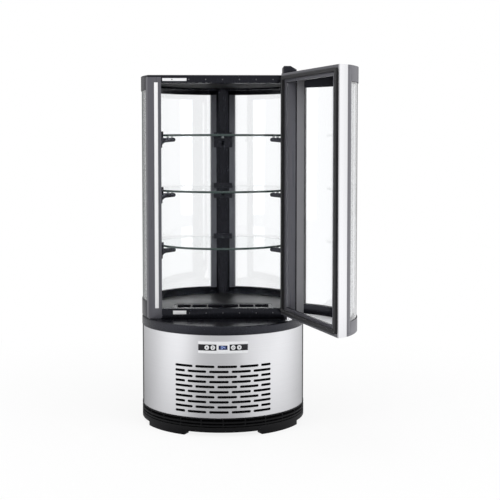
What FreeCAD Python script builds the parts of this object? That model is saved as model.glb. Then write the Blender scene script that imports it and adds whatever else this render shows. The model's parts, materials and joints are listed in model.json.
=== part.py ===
import FreeCAD, Part
import math
import os
from FreeCAD import Vector

# A round refrigerated display case. Lengths are in millimetres, angles in degrees.
# The axis of the round body is Z, the floor is z = 0 and the front faces -Y.
# Plan angles start at the front and grow towards the right hand side (+X).

# Whole case
body_r = 240.0            # outside of plinth, collar, cabin and closed door
front_y = 110.0           # the flat cabin front, ahead of the axis
foot_h = 11.5
plinth_h = 40.5
wrap_h = 232.0
collar_h = 25.0
shadow_gap_h = 4.0
shadow_gap_w = 4.0
cabin_h = 696.0
fit_gap = 0.3             # between pieces that move, or that drop into place
seat_gap = 0.1            # between curved pieces that bear on each other
overrun = 5.0             # how far a cutting shape passes the face it cuts

# Plinth ring with its louvres and feet
plinth_wall = 4.0
plinth_flange_w = 30.0
plinth_flange_t = 4.0
plinth_band_h = 13.5
louvre_count = 3
louvre_slat_t = 4.0
louvre_slat_w = 9.0
louvre_drop = 2.5
plinth_rib_count = 24
plinth_rib_t = 3.0
plinth_rib_w = 7.0
foot_count = 4
foot_span_deg = 36.0
foot_w = 26.0

# Sheet round the base
base_plate_t = 2.0
sheet_t = 1.0
sheet_inset = 1.0
wrap_half_deg = 76.0
sheet_seam_w = 0.5
slot_rows = 10
slot_h = 6.9
slot_pitch = 14.2
slot_drop = 87.6          # from the top of the wrap to the middle of the first row
slot_deg = 13.2
slot_gap_deg = 1.9
grille_half_deg = 34.0
vent_rows = 7
vent_h = 5.0
vent_pitch = 16.0
vent_drop = 92.0
vent_columns = 5
vent_deg = 11.0
vent_gap_deg = 3.0

# Collar and insulated tub
collar_skirt_t = 8.0
collar_plate_t = 5.0
collar_edge = 3.0
tub_inset = 26.0
tub_front_set = 15.0     # tub wall ahead of the cabin front
tub_wall = 24.0
tub_floor_t = 24.0
tub_h = 108.0

# Control panel
panel_drop = 33.5         # from the top of the wrap to the middle of the panel
bezel_h = 33.0
bezel_half_deg = 16.65
bezel_t = 2.2
fascia_h = 17.5
fascia_start_deg = 4.3
fascia_t = 1.4
display_half_deg = 2.9
display_h = 11.6
display_t = 3.0
button_r = 6.35
button_len = 10.0
button_proud = 1.2
button_crown = 0.6
button_inner_deg = 6.75
button_outer_deg = 10.8
button_fit = 0.25
controller_depth = 26.0
controller_cavity = 8.5
controller_h = 45.0
controller_half_deg = 16.0
controller_wall = 3.0

# Cabin frame
frame_depth = 33.0        # posts and rails, from the outside in
post_face_w = 15.8        # from the front corner round to the side glass
post_tongue_w = 23.0      # how far the post reaches on behind the glass
rear_core_w = 40.0
rear_post_w = 86.0
rear_channel_w = 25.0
rear_channel_t = 3.0
rear_groove_w = 2.4
rear_groove_t = 2.4
bottom_rail_h = 46.0
top_rail_h = 42.0
sill_h = 27.0
sill_depth = 13.0
header_h = 23.0
roof_t = 6.0
roof_edge = 2.0
rail_lip_t = 2.7
rail_groove = 8.0
ledge_w = 7.0
ledge_t = 6.0
deck_t = 2.0

# Side glazing
glass_inset = 2.0
pane_t = 4.0
pane_air = 6.0
spacer_w = 8.0

# Air grille in the deck
grille_side = 37.7        # deck left at each end of the grille
grille_depth = 81.0
grille_corner = 18.0
grille_t = 8.0
grille_frame_w = 4.0
grille_rib_t = 2.6
grille_rib_count = 5

# Bright strips on the cabin front
strike_t = 1.2
strike_w = 10.6
latch_strike_set = 23.3   # middle of the strip, in from the front corner
latch_strike_low = 28.0   # above the bottom of the cabin
latch_strike_high = 21.0  # below the roof
header_strike_set = 3.4   # end of the strip, in from the post
header_strike_w = 69.0
header_strike_h = 8.0
header_strike_drop = 11.0
sill_strike_set = 31.4
sill_strike_w = 38.0
sill_strike_h = 10.5
sill_strike_rise = 15.5

# Shelves and brackets
shelf_count = 3
shelf_clear = 11.0        # from the rim of a shelf to the posts
shelf_t = 6.0
shelf_first_h = 182.8     # top of the first shelf above the deck
shelf_pitch = 159.0
shelf_edge = 1.0
bracket_reach = 48.5
bracket_t = 8.0
bracket_tip_h = 11.0
bracket_nose = 4.0        # how far the rounded tip stands out
bracket_knee_w = 20.0     # from the post to where the gusset starts
bracket_knee_drop = 2.0
bracket_hollow_share = 0.3
bracket_root_h = 28.5
bracket_front_set = 2.0   # from the post's front corner to the bracket's root
bracket_root_t = 4.0
bracket_root_w = 18.0
rear_bracket_w = 56.0
knob_rise = 8.0
shelf_play = 0.9          # between a shelf's rim and the knobs round it
pad_r = 3.6
pad_h = 4.0
pad_from_tip = 9.0
pad_count = 2             # on each bracket
pad_pitch = 13.0

# Door, worked out closed and then swung open
door_open_deg = 108.0
door_lift = 16.0          # bottom of the door above the ledge
door_rise = 3.0           # top of the door above the roof
gasket_t = 8.6
gasket_gap = 0.4
gasket_w = 10.0
gasket_neck_w = 6.0
gasket_base_t = 2.6
gasket_head_t = 3.0
gasket_dart_w = 3.4
gasket_dart_t = 2.6
gasket_latch_set = 18.3   # these five are in from the cabin's front corner
gasket_hinge_set = 28.3
pivot_set = 25.3
latch_set = 13.3
hinge_end_set = 12.3
gasket_margin = 8.0
pivot_depth = 28.0        # hinge axis ahead of the cabin front
door_frame_t = 6.0
door_bar_h = 27.0
door_window_set = 52.3
stile_face_w = 20.5       # round the outside, from the handle to the glass
hinge_face_w = 79.5       # round the outside, from the cabin side to the glass
stile_bead_r = 1.5        # groove down the inside of each stile
stile_bead_share = 0.5
door_band_w = 18.0
door_top_band_h = 41.0
door_bottom_band_h = 36.0
door_plate_t = 8.0
door_glass_bite = 8.0
door_floor_t = 0.8
facet_depth = 28.0
handle_t = 3.0
handle_bevel = 1.5

# Hinges
pin_r = 3.0
pin_fit = 0.05
pin_end_gap = 1.0
hinge_arm_t = 3.0
hinge_arm_half_w = 11.0
hinge_foot_len = 40.0
hinge_foot_set = 6.0
cover_left = 16.0         # cover either side of the hinge axis
cover_right = 20.0
cover_flat = 3.0
cover_h = 23.0
cover_end_h = 13.0
cover_wall = 2.0
cover_front = 15.0
cover_back = 8.0
bottom_hinge_t = 3.0
bottom_hinge_half_w = 10.0
bottom_hinge_back = 18.0
bottom_boss_r = 6.5
bottom_gusset_t = 4.0

# Refrigeration
compressor_x = 60.0
compressor_set = 140.0    # its axis, in from the round back
compressor_r = 62.0
compressor_headroom = 31.5 # under the tub
compressor_top_r = 14.0
compressor_seam_w = 2.0
compressor_seam_h = 6.0
compressor_foot_t = 3.0
compressor_foot_x = 150.0
compressor_foot_y = 80.0
compressor_seam_share = 0.55
mount_r = 9.0
mount_h = 12.0
mount_inset = 14.0
stub_r = 6.0
stub_len = 12.0
stub_height_share = 0.75
condenser_half_w = 100.0
condenser_headroom = 28.5
condenser_depth = 34.0
condenser_set = 50.0      # its front, in from the round front
coil_fin_count = 17
coil_fin_t = 1.6
coil_spine_t = 4.0
shroud_gap = 4.0
shroud_t = 2.0
shroud_ring_t = 3.0
shroud_ring_len = 22.0
shroud_rim = 4.0
shroud_margin = 9.0       # from the fan's tips to the edge of the shroud
condenser_fan_len = 18.0
fan_tip_gap = 3.0
fan_hub_r = 15.0
fan_blade_t = 1.8
fan_blade_chord = 26.0
fan_blade_tilt = 32.0
fan_blade_count = 5
fan_shaft_r = 3.0
fan_shaft_fit = 0.05
motor_bar_h = 12.0
motor_bar_t = 3.0
motor_post_w = 6.0
motor_gap = 5.0
motor_r = 22.0
motor_len = 36.0
evaporator_half_w = 110.0
evaporator_set = 105.0
evaporator_depth = 60.0
evaporator_h = 80.0
evaporator_fins = 15
evaporator_fan_r = 46.0
evaporator_fan_gap = 18.0
evaporator_motor_r = 19.0
evaporator_motor_len = 30.0
evaporator_motor_rise = 54.0
evaporator_foot_w = 26.0
evaporator_foot_t = 5.0
pan_x = 155.0
pan_set = 70.0            # front of the pan, ahead of the compressor's axis
pan_w = 90.0
pan_len = 115.0
pan_h = 40.0
pan_wall = 2.0
pipe_r = 4.0
pipe_bend = 14.0
pipe_rise = 16.0
suction_x = -40.0
tub_pipe_fit = 0.5
gland_deg = 152.0
gland_rise = 26.0
gland_r = 8.0
gland_flange_r = 12.0
gland_flange_t = 4.0
gland_len = 20.0
gland_bore_r = 4.0

# Levels worked out from the sizes above
wrap_z = foot_h + plinth_h
collar_z = wrap_z + wrap_h
ledge_z = collar_z + collar_h
cabin_z = ledge_z + shadow_gap_h
deck_z = cabin_z + sill_h
roof_z = cabin_z + cabin_h
roof_low = roof_z - roof_t
ceiling_z = roof_z - header_h
glass_low = cabin_z + bottom_rail_h
glass_high = roof_z - top_rail_h
floor_z = foot_h + plinth_flange_t + base_plate_t
tub_z = ledge_z - collar_plate_t - tub_h
door_z = ledge_z + door_lift
door_top = roof_z + door_rise

# Radii and planes worked out from the sizes above
corner_x = math.sqrt(body_r ** 2 - front_y ** 2)
post_in_r = body_r - frame_depth
opening_x = math.sqrt(post_in_r ** 2 - front_y ** 2)
front_deg = math.degrees(math.acos(front_y / body_r))
post_in_deg = math.degrees(math.acos(front_y / post_in_r))
post_edge_deg = front_deg + math.degrees(post_face_w / body_r)
tongue_deg = post_edge_deg + math.degrees(post_tongue_w / body_r)
bracket_deg = post_in_deg + math.degrees((bracket_root_w / 2 + bracket_front_set) / post_in_r)
shelf_r = post_in_r - shelf_clear
tub_r = body_r - tub_inset
tub_front = front_y + tub_front_set
sheet_r = body_r - sheet_inset
sheet_in_r = sheet_r - sheet_t
glass_r = body_r - glass_inset
glass_in_r = glass_r - pane_t - pane_air - pane_t
tongue_r = glass_in_r - fit_gap
cavity_r = tub_r - tub_wall
cavity_front = tub_front - tub_wall
lining_r = post_in_r - fit_gap
lining_front = front_y - sill_depth - fit_gap
sill_back = front_y - sill_depth
rear_core_deg = math.degrees(rear_core_w / body_r) / 2
rear_post_deg = math.degrees(rear_post_w / body_r) / 2
glass_gap_deg = math.degrees(fit_gap / glass_r)
glass_start_deg = post_edge_deg + glass_gap_deg
glass_end_deg = 180 - rear_core_deg - glass_gap_deg
door_plane = front_y + gasket_gap + gasket_t
door_back = door_plane + door_frame_t
door_stile_y = door_back + seat_gap
door_band_r = body_r - door_band_w
door_window_x = corner_x - door_window_set
pivot_x = corner_x - pivot_set
pivot_y = front_y + pivot_depth
latch_x = corner_x - latch_set
hinge_end_x = corner_x - hinge_end_set
facet_y = door_plane + facet_depth
facet_deg = math.degrees(math.acos(facet_y / body_r))
door_glass_latch_deg = facet_deg - math.degrees(stile_face_w / body_r)
door_glass_hinge_deg = math.degrees(math.acos(door_plane / body_r) - hinge_face_w / body_r)
grille_half_w = math.sqrt(lining_r ** 2 - lining_front ** 2) - grille_side
compressor_y = body_r - compressor_set
compressor_h = tub_z - compressor_headroom - floor_z - mount_h - compressor_foot_t
condenser_front = body_r - condenser_set
condenser_h = tub_z - condenser_headroom - floor_z
condenser_fan_r = condenser_h / 2 - shroud_margin
evaporator_back = cavity_r - evaporator_set
pan_y = compressor_y - pan_set
pieces = {}


def at(radius, degrees, height=0.0):
    turn = math.radians(degrees)
    return Vector(radius * math.sin(turn), -radius * math.cos(turn), height)


def arc(radius, start, end):
    return at(radius, (start + end) / 2), at(radius, end)


def prism(low, high, *corners):
    # Upright solid on a plan outline. A corner is a point, or a pair: through, to.
    edges = []
    here = None
    for corner in corners + (corners[0],):
        through, end = corner if isinstance(corner, tuple) else (None, corner)
        end = Vector(end.x, end.y, low)
        if here is not None and not end.isEqual(here, seat_gap / 100):
            if through is None:
                edges.append(Part.LineSegment(here, end).toShape())
            else:
                edges.append(Part.Arc(here, Vector(through.x, through.y, low), end).toShape())
        here = end
    return Part.Face(Part.Wire(edges)).extrude(Vector(0, 0, high - low))


def sector(inner, outer, start, end, low, high):
    return prism(low, high, at(outer, start), arc(outer, start, end),
                 at(inner, end), arc(inner, end, start))


def cut_round(radius, chord, low, high):
    # A disc whose front is cut off flat, chord ahead of the axis.
    half = math.degrees(math.acos(chord / radius))
    return prism(low, high, at(radius, half), (at(radius, 180), at(radius, -half)))


def turned(profile, start=0.0, sweep=360.0):
    corners = [at(radius, start, height) for radius, height in profile]
    face = Part.Face(Part.makePolygon(corners + corners[:1]))
    return face.revolve(Vector(0, 0, 0), Vector(0, 0, 1), sweep)


def block(x0, x1, y0, y1, z0, z1):
    return Part.makeBox(x1 - x0, y1 - y0, z1 - z0, Vector(x0, y0, z0))


def rod(radius, start, end):
    along = end - start
    return Part.makeCylinder(radius, along.Length, start, along)


def mirrored(shape):
    return shape.mirror(Vector(0, 0, 0), Vector(1, 0, 0))


def turned_to(shape, degrees):
    moved = shape.copy()
    moved.rotate(Vector(0, 0, 0), Vector(0, 0, 1), degrees)
    return moved


def joined(shapes):
    whole = shapes[0].multiFuse(shapes[1:])
    return whole.removeSplitter()


def pipe(points, radius, bend):
    # A tube along straight runs, with an arc at each corner.
    edges = []
    here = points[0]
    for before, corner, after in zip(points, points[1:], points[2:]):
        back = (before - corner).normalize()
        ahead = (after - corner).normalize()
        half = back.getAngle(ahead) / 2
        leg = bend / math.tan(half)
        middle = corner + (back + ahead).normalize() * (bend / math.sin(half) - bend)
        edges.append(Part.LineSegment(here, corner + back * leg).toShape())
        edges.append(Part.Arc(corner + back * leg, middle, corner + ahead * leg).toShape())
        here = corner + ahead * leg
    edges.append(Part.LineSegment(here, points[-1]).toShape())
    path = Part.Wire(edges)
    section = Part.Wire(Part.makeCircle(radius, points[0], points[1] - points[0]))
    return path.makePipeShell([section], True, False)


def plinth_ring():
    wall_r = body_r - plinth_wall
    flange_r = wall_r - plinth_flange_w
    band_top = foot_h + plinth_band_h
    flange_top = foot_h + plinth_flange_t
    shapes = [turned([(flange_r, foot_h), (body_r, foot_h), (body_r, band_top), (wall_r, band_top),
                      (wall_r, flange_top), (flange_r, flange_top)])]
    pitch = (wrap_z - band_top) / louvre_count
    slat_in_r = body_r - louvre_slat_w
    for slat in range(louvre_count):
        top = band_top + pitch * (slat + 1)
        drop = louvre_drop if slat + 1 < louvre_count else 0
        shapes.append(turned([(slat_in_r, top), (body_r, top - drop),
                              (body_r, top - drop - louvre_slat_t), (slat_in_r, top - louvre_slat_t)]))
    rib_deg = math.degrees(plinth_rib_t / body_r) / 2
    rib_out_r = body_r - plinth_wall / 2
    for rib in range(plinth_rib_count):
        middle = 360 * rib / plinth_rib_count
        shapes.append(sector(rib_out_r - plinth_rib_w, rib_out_r, middle - rib_deg, middle + rib_deg,
                             band_top - plinth_wall, wrap_z - louvre_slat_t / 2))
    for foot in range(foot_count):
        middle = 360 * (foot + 1 / 2) / foot_count
        shapes.append(sector(body_r - foot_w, body_r, middle - foot_span_deg / 2,
                             middle + foot_span_deg / 2, 0, foot_h))
    return joined(shapes)


def base_plate():
    plate_r = body_r - plinth_wall - fit_gap
    return Part.makeCylinder(plate_r, base_plate_t, Vector(0, 0, floor_z - base_plate_t))


def slot_tools(start, end, height, middle_z):
    # A long slot with round ends, cut square to the curved sheet.
    inner = sheet_in_r - overrun
    outer = sheet_r + overrun
    end_deg = math.degrees(height / 2 / sheet_r)
    tools = [sector(inner, outer, start + end_deg, end - end_deg,
                    middle_z - height / 2, middle_z + height / 2)]
    for angle in (start + end_deg, end - end_deg):
        tools.append(rod(height / 2, at(inner, angle, middle_z), at(outer, angle, middle_z)))
    return tools


def button_angles():
    return {"button_up": -button_outer_deg, "button_lamp": -button_inner_deg,
            "button_power": button_inner_deg, "button_down": button_outer_deg}


def panel_z():
    return collar_z - panel_drop


def front_wrap():
    sheet = sector(sheet_in_r, sheet_r, -wrap_half_deg, wrap_half_deg, wrap_z, collar_z)
    tools = []
    for row in range(slot_rows):
        middle_z = collar_z - slot_drop - row * slot_pitch
        side = 1 if row % 2 == 0 else -1
        start = -grille_half_deg
        while start < grille_half_deg - slot_gap_deg:
            end = min(start + slot_deg, grille_half_deg)
            left, right = sorted((side * start, side * end))
            tools += slot_tools(left, right, slot_h, middle_z)
            start = end + slot_gap_deg
    hole_r = button_r + button_fit
    for angle in button_angles().values():
        tools.append(rod(hole_r, at(sheet_in_r - overrun, angle, panel_z()),
                         at(sheet_r + overrun, angle, panel_z())))
    display_deg = display_half_deg + glass_gap_deg
    tools.append(sector(sheet_in_r - overrun, sheet_r + overrun, -display_deg, display_deg,
                        panel_z() - display_h / 2 - fit_gap, panel_z() + display_h / 2 + fit_gap))
    return sheet.cut(tools)


def rear_casing():
    seam_deg = math.degrees(sheet_seam_w / sheet_r)
    start = wrap_half_deg + seam_deg
    sheet = sector(sheet_in_r, sheet_r, start, 360 - start, wrap_z, collar_z)
    tools = []
    step = vent_deg + vent_gap_deg
    first = 180 - step * vent_columns / 2 + vent_gap_deg / 2
    for row in range(vent_rows):
        middle_z = collar_z - vent_drop - row * vent_pitch
        if middle_z - vent_h < gland_z() + gland_flange_r:
            break
        for column in range(vent_columns):
            left = first + column * step
            tools += slot_tools(left, left + vent_deg, vent_h, middle_z)
    tools.append(rod(gland_r + fit_gap, at(sheet_in_r - overrun, gland_deg, gland_z()),
                     at(sheet_r + overrun, gland_deg, gland_z())))
    return sheet.cut(tools)


def gland_z():
    return wrap_z + gland_rise


def mains_gland():
    inside = sheet_in_r - gland_len
    flange_in = sheet_r + seat_gap
    flange_out = flange_in + gland_flange_t
    nut_out = math.sqrt(sheet_in_r ** 2 - gland_flange_r ** 2) - seat_gap

    def stage(radius, near, far):
        return rod(radius, at(near, gland_deg, gland_z()), at(far, gland_deg, gland_z()))

    body = stage(gland_r, inside, flange_out)
    flange = stage(gland_flange_r, flange_in, flange_out)
    nut = stage(gland_flange_r, nut_out - gland_flange_t, nut_out)
    return joined([body, flange, nut]).cut(stage(gland_bore_r, inside - overrun, flange_out + overrun))


def collar():
    skirt_r = body_r - collar_skirt_t
    plate_low = ledge_z - collar_plate_t
    ring = turned([(0, plate_low), (skirt_r, plate_low), (skirt_r, collar_z), (body_r, collar_z),
                   (body_r, ledge_z - collar_edge), (body_r - collar_edge, ledge_z), (0, ledge_z)])
    return ring.cut(cut_round(cavity_r, cavity_front, plate_low - overrun, ledge_z + overrun))


def suction_points():
    high = tub_z + tub_floor_t + pipe_rise
    low = floor_z + mount_h + compressor_foot_t + compressor_h * stub_height_share
    end_x = compressor_x - compressor_r - stub_len
    return [Vector(suction_x, compressor_y, high), Vector(suction_x, compressor_y, low),
            Vector(end_x, compressor_y, low)]


def insulated_tub():
    top = tub_z + tub_h
    tub = cut_round(tub_r, tub_front, tub_z, top)
    tub = tub.cut(cut_round(cavity_r, cavity_front, tub_z + tub_floor_t, top + overrun))
    start = suction_points()[0]
    passage = rod(pipe_r + tub_pipe_fit, Vector(start.x, start.y, tub_z - overrun), start)
    return tub.cut(passage)


def compressor():
    foot_low = floor_z + mount_h
    low = foot_low + compressor_foot_t
    top = low + compressor_h
    seam = low + compressor_h * compressor_seam_share
    seam_r = compressor_r + compressor_seam_w
    bulge = compressor_r / math.sqrt(2)
    dome_h = top - seam - compressor_seam_h
    seam_top = seam + compressor_seam_h
    side = [(compressor_top_r, top), (0, top), (0, low), (bulge, low),
            (compressor_r, low + compressor_r - bulge), (compressor_r, seam), (seam_r, seam),
            (seam_r, seam_top), (compressor_r, seam_top)]
    corners = [Vector(radius, 0, height) for radius, height in side]
    outline = [Part.LineSegment(a, b).toShape() for a, b in zip(corners, corners[1:])]
    crown = Vector((compressor_r + compressor_top_r) / 2 + bulge / 4, 0, top - dome_h / 3)
    outline.append(Part.Arc(corners[-1], crown, corners[0]).toShape())
    shell = Part.Face(Part.Wire(outline)).revolve(Vector(0, 0, 0), Vector(0, 0, 1), 360)
    shell.translate(Vector(compressor_x, compressor_y, 0))
    foot = block(compressor_x - compressor_foot_x / 2, compressor_x + compressor_foot_x / 2,
                 compressor_y - compressor_foot_y / 2, compressor_y + compressor_foot_y / 2, foot_low, low)
    end = suction_points()[-1]
    stub = rod(stub_r, Vector(end.x + stub_len + compressor_r / 2, end.y, end.z), end)
    return joined([shell, foot, stub])


def compressor_mounts():
    mounts = []
    for side_x in (-1, 1):
        for side_y in (-1, 1):
            x = compressor_x + side_x * (compressor_foot_x / 2 - mount_inset)
            y = compressor_y + side_y * (compressor_foot_y / 2 - mount_inset)
            mounts.append(Part.makeCylinder(mount_r, mount_h, Vector(x, y, floor_z)))
    return Part.makeCompound(mounts)


def finned_block(half_w, back, front, low, high, count):
    # Upright fins side by side on a spine, as one comb in plan.
    pitch = (2 * half_w - coil_fin_t) / (count - 1)
    spine = back - coil_spine_t
    corners = [Vector(half_w, back), Vector(-half_w, back)]
    for fin in range(count):
        left = -half_w + fin * pitch
        right = left + coil_fin_t
        if fin > 0:
            corners.append(Vector(left, spine))
        corners += [Vector(left, front), Vector(right, front)]
        if fin < count - 1:
            corners.append(Vector(right, spine))
    return prism(low, high, *corners)


def condenser_back():
    return -condenser_front + condenser_depth


def condenser_coil():
    return finned_block(condenser_half_w, condenser_back(), -condenser_front,
                        floor_z, floor_z + condenser_h, coil_fin_count)


def condenser_axis_z():
    return floor_z + condenser_h / 2


def shroud_y():
    return condenser_back() + shroud_gap


def motor_bar_y():
    return shroud_y() + shroud_t + shroud_ring_len + motor_gap


def condenser_shroud():
    y = shroud_y()
    z = condenser_axis_z()
    hole_r = condenser_fan_r + fan_tip_gap
    plate = block(-condenser_half_w, condenser_half_w, y, y + shroud_t, floor_z, floor_z + condenser_h)
    edge = condenser_half_w - shroud_rim
    ring_end = y + shroud_t + shroud_ring_len
    bar_end = motor_bar_y() + motor_bar_t
    bar_low = z - motor_bar_h / 2
    bar_high = z + motor_bar_h / 2
    post = block(edge - motor_post_w, edge, y, bar_end, bar_low, bar_high)
    rim = block(edge, condenser_half_w, condenser_back(), y + shroud_t, floor_z, floor_z + condenser_h)
    whole = joined([plate, rod(hole_r + shroud_ring_t, Vector(0, y, z), Vector(0, ring_end, z)),
                    post, mirrored(post), rim, mirrored(rim),
                    block(-edge, edge, motor_bar_y(), bar_end, bar_low, bar_high)])
    whole = whole.cut(rod(hole_r, Vector(0, y - overrun, z), Vector(0, ring_end + fit_gap, z)))
    return whole.cut(rod(fan_shaft_r + fan_shaft_fit, Vector(0, y, z), Vector(0, bar_end + overrun, z)))


def fan_blades(tip_r, length):
    # Hub and pitched blades about the Y axis, centred on the origin.
    hub = rod(fan_hub_r, Vector(0, -length / 2, 0), Vector(0, length / 2, 0))
    tilt = math.radians(fan_blade_tilt)
    along = Vector(0, math.sin(tilt), math.cos(tilt))
    across = Vector(0, math.cos(tilt), -math.sin(tilt))
    sections = []
    for radius, chord in ((fan_hub_r / 2, fan_hub_r), (tip_r, fan_blade_chord)):
        middle = Vector(radius, 0, 0)
        corners = [middle + along * (chord / 2 * a) + across * (fan_blade_t / 2 * b)
                   for a, b in ((-1, -1), (1, -1), (1, 1), (-1, 1))]
        sections.append(Part.makePolygon(corners + corners[:1]))
    blade = Part.makeLoft(sections, True, True)
    shapes = [hub]
    for index in range(fan_blade_count):
        turned_blade = blade.copy()
        turned_blade.rotate(Vector(0, 0, 0), Vector(0, 1, 0), 360 * index / fan_blade_count)
        shapes.append(turned_blade)
    bore = rod(fan_shaft_r + fan_shaft_fit, Vector(0, -length, 0), Vector(0, length, 0))
    return joined(shapes).cut(bore)


def condenser_fan_y():
    return shroud_y() + shroud_t + shroud_ring_len / 2


def condenser_fan():
    fan = fan_blades(condenser_fan_r, condenser_fan_len)
    fan.translate(Vector(0, condenser_fan_y(), condenser_axis_z()))
    return fan


def condenser_fan_motor():
    y = motor_bar_y() + motor_bar_t
    z = condenser_axis_z()
    can = rod(motor_r, Vector(0, y, z), Vector(0, y + motor_len, z))
    shaft = rod(fan_shaft_r, Vector(0, condenser_fan_y() - condenser_fan_len / 2, z), Vector(0, y, z))
    return joined([can, shaft])


def evaporator_coil():
    low = tub_z + tub_floor_t
    return finned_block(evaporator_half_w, evaporator_back, evaporator_back - evaporator_depth, low,
                        low + evaporator_h, evaporator_fins)


def evaporator_motor_y():
    return evaporator_back - evaporator_depth - evaporator_fan_gap


def evaporator_axis_z():
    return tub_z + tub_floor_t + evaporator_motor_rise


def evaporator_fan_motor():
    back = evaporator_motor_y()
    front = back - evaporator_motor_len
    z = evaporator_axis_z()
    can = rod(evaporator_motor_r, Vector(0, back, z), Vector(0, front, z))
    shaft = rod(fan_shaft_r, Vector(0, front, z), Vector(0, front - motor_gap - condenser_fan_len, z))
    foot = block(-evaporator_foot_w / 2, evaporator_foot_w / 2, back - evaporator_foot_t, back,
                 tub_z + tub_floor_t, z)
    return joined([can, shaft, foot])


def evaporator_fan():
    fan = fan_blades(evaporator_fan_r, condenser_fan_len)
    y = evaporator_motor_y() - evaporator_motor_len - motor_gap - condenser_fan_len / 2
    fan.translate(Vector(0, y, evaporator_axis_z()))
    return fan


def drain_pan():
    outer = block(-pan_x, pan_w - pan_x, pan_y, pan_y + pan_len, floor_z, floor_z + pan_h)
    inner = block(pan_wall - pan_x, pan_w - pan_x - pan_wall, pan_y + pan_wall, pan_y + pan_len - pan_wall,
                  floor_z + pan_wall, floor_z + pan_h + overrun)
    return outer.cut(inner)


def refrigerant_pipes():
    top = floor_z + mount_h + compressor_foot_t + compressor_h
    over = top + pipe_rise + pipe_r
    start = Vector(compressor_x, compressor_y, top)
    coil_top = floor_z + condenser_h
    coil_y = condenser_back() - condenser_depth / 2
    discharge = pipe([start, Vector(compressor_x, compressor_y, over), Vector(compressor_x, coil_y, over),
                      Vector(compressor_x, coil_y, coil_top)], pipe_r, pipe_bend)
    return Part.makeCompound([discharge, pipe(suction_points(), pipe_r, pipe_bend)])


def controller_box():
    outer_r = sheet_in_r - seat_gap
    low = panel_z() - controller_h / 2
    high = panel_z() + controller_h / 2
    wall_deg = math.degrees(controller_wall / sheet_r)
    box = sector(outer_r - controller_depth, outer_r, -controller_half_deg, controller_half_deg, low, high)
    hollow = sector(outer_r - controller_cavity, outer_r + overrun, wall_deg - controller_half_deg,
                    controller_half_deg - wall_deg, low + controller_wall, high - controller_wall)
    return box.cut(hollow)


def control_bezel():
    low = panel_z() - bezel_h / 2
    inner = sheet_r + seat_gap
    plate = sector(inner, inner + bezel_t, -bezel_half_deg, bezel_half_deg, low, low + bezel_h)
    field_low = panel_z() - fascia_h / 2
    field_high = panel_z() + fascia_h / 2
    end = bezel_half_deg + fascia_start_deg
    tools = [sector(inner - overrun, inner + bezel_t + overrun, start, stop, field_low, field_high)
             for start, stop in ((fascia_start_deg, end), (-end, -fascia_start_deg))]
    display_deg = display_half_deg + glass_gap_deg
    tools.append(sector(inner - overrun, inner + bezel_t + overrun, -display_deg, display_deg,
                        panel_z() - display_h / 2 - fit_gap, panel_z() + display_h / 2 + fit_gap))
    return plate.cut(tools)


def control_fascia():
    inner = sheet_r + seat_gap
    plates = []
    for side in (-1, 1):
        start = side * (fascia_start_deg + glass_gap_deg)
        end = side * bezel_half_deg
        plate = sector(inner, inner + fascia_t, min(start, end), max(start, end),
                       panel_z() - fascia_h / 2 + fit_gap, panel_z() + fascia_h / 2 - fit_gap)
        holes = [rod(button_r + button_fit, at(inner - overrun, angle, panel_z()),
                     at(inner + overrun, angle, panel_z()))
                 for angle in button_angles().values() if angle * side > 0]
        plates.append(plate.cut(holes))
    return Part.makeCompound(plates)


def display_window():
    outer = sheet_r + seat_gap + bezel_t / 2
    return sector(outer - display_t, outer, -display_half_deg, display_half_deg,
                  panel_z() - display_h / 2, panel_z() + display_h / 2)


def button(angle):
    face = sheet_r + seat_gap + fascia_t + button_proud
    stem = rod(button_r, at(face - button_len, angle, panel_z()), at(face - button_crown, angle, panel_z()))
    crown = Part.makeCone(button_r, button_r - button_crown, button_crown,
                          at(face - button_crown, angle, panel_z()), at(1, angle))
    return joined([stem, crown])


def front_post():
    core = prism(cabin_z, roof_low, at(body_r, front_deg), arc(body_r, front_deg, post_edge_deg),
                 at(post_in_r, post_edge_deg), arc(post_in_r, post_edge_deg, post_in_deg))
    tongue = sector(post_in_r, tongue_r, post_edge_deg, tongue_deg,
                    glass_low + fit_gap, glass_high - fit_gap)
    foot_deg = math.degrees(math.acos((front_y - shadow_gap_w) / (body_r - shadow_gap_w)))
    foot_in_deg = math.degrees(math.acos((front_y - shadow_gap_w) / post_in_r))
    foot_r = body_r - shadow_gap_w
    foot = prism(ledge_z, cabin_z, at(foot_r, foot_deg), arc(foot_r, foot_deg, post_edge_deg),
                 at(post_in_r, post_edge_deg), arc(post_in_r, post_edge_deg, foot_in_deg))
    return joined([core, tongue, foot])


def latch_strike():
    middle = latch_strike_set - corner_x
    return block(middle - strike_w / 2, middle + strike_w / 2, -front_y, -front_y + strike_t,
                 cabin_z + latch_strike_low, roof_z - latch_strike_high)


def header_strike():
    top = roof_low - header_strike_drop + header_strike_h
    left = header_strike_set - opening_x
    return block(left, left + header_strike_w, -front_y, -front_y + strike_t, top - header_strike_h, top)


def sill_strike():
    middle = cabin_z + sill_strike_rise
    left = sill_strike_set - opening_x
    return block(left, left + sill_strike_w, -front_y, -front_y + strike_t,
                 middle - sill_strike_h / 2, middle + sill_strike_h / 2)


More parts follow.
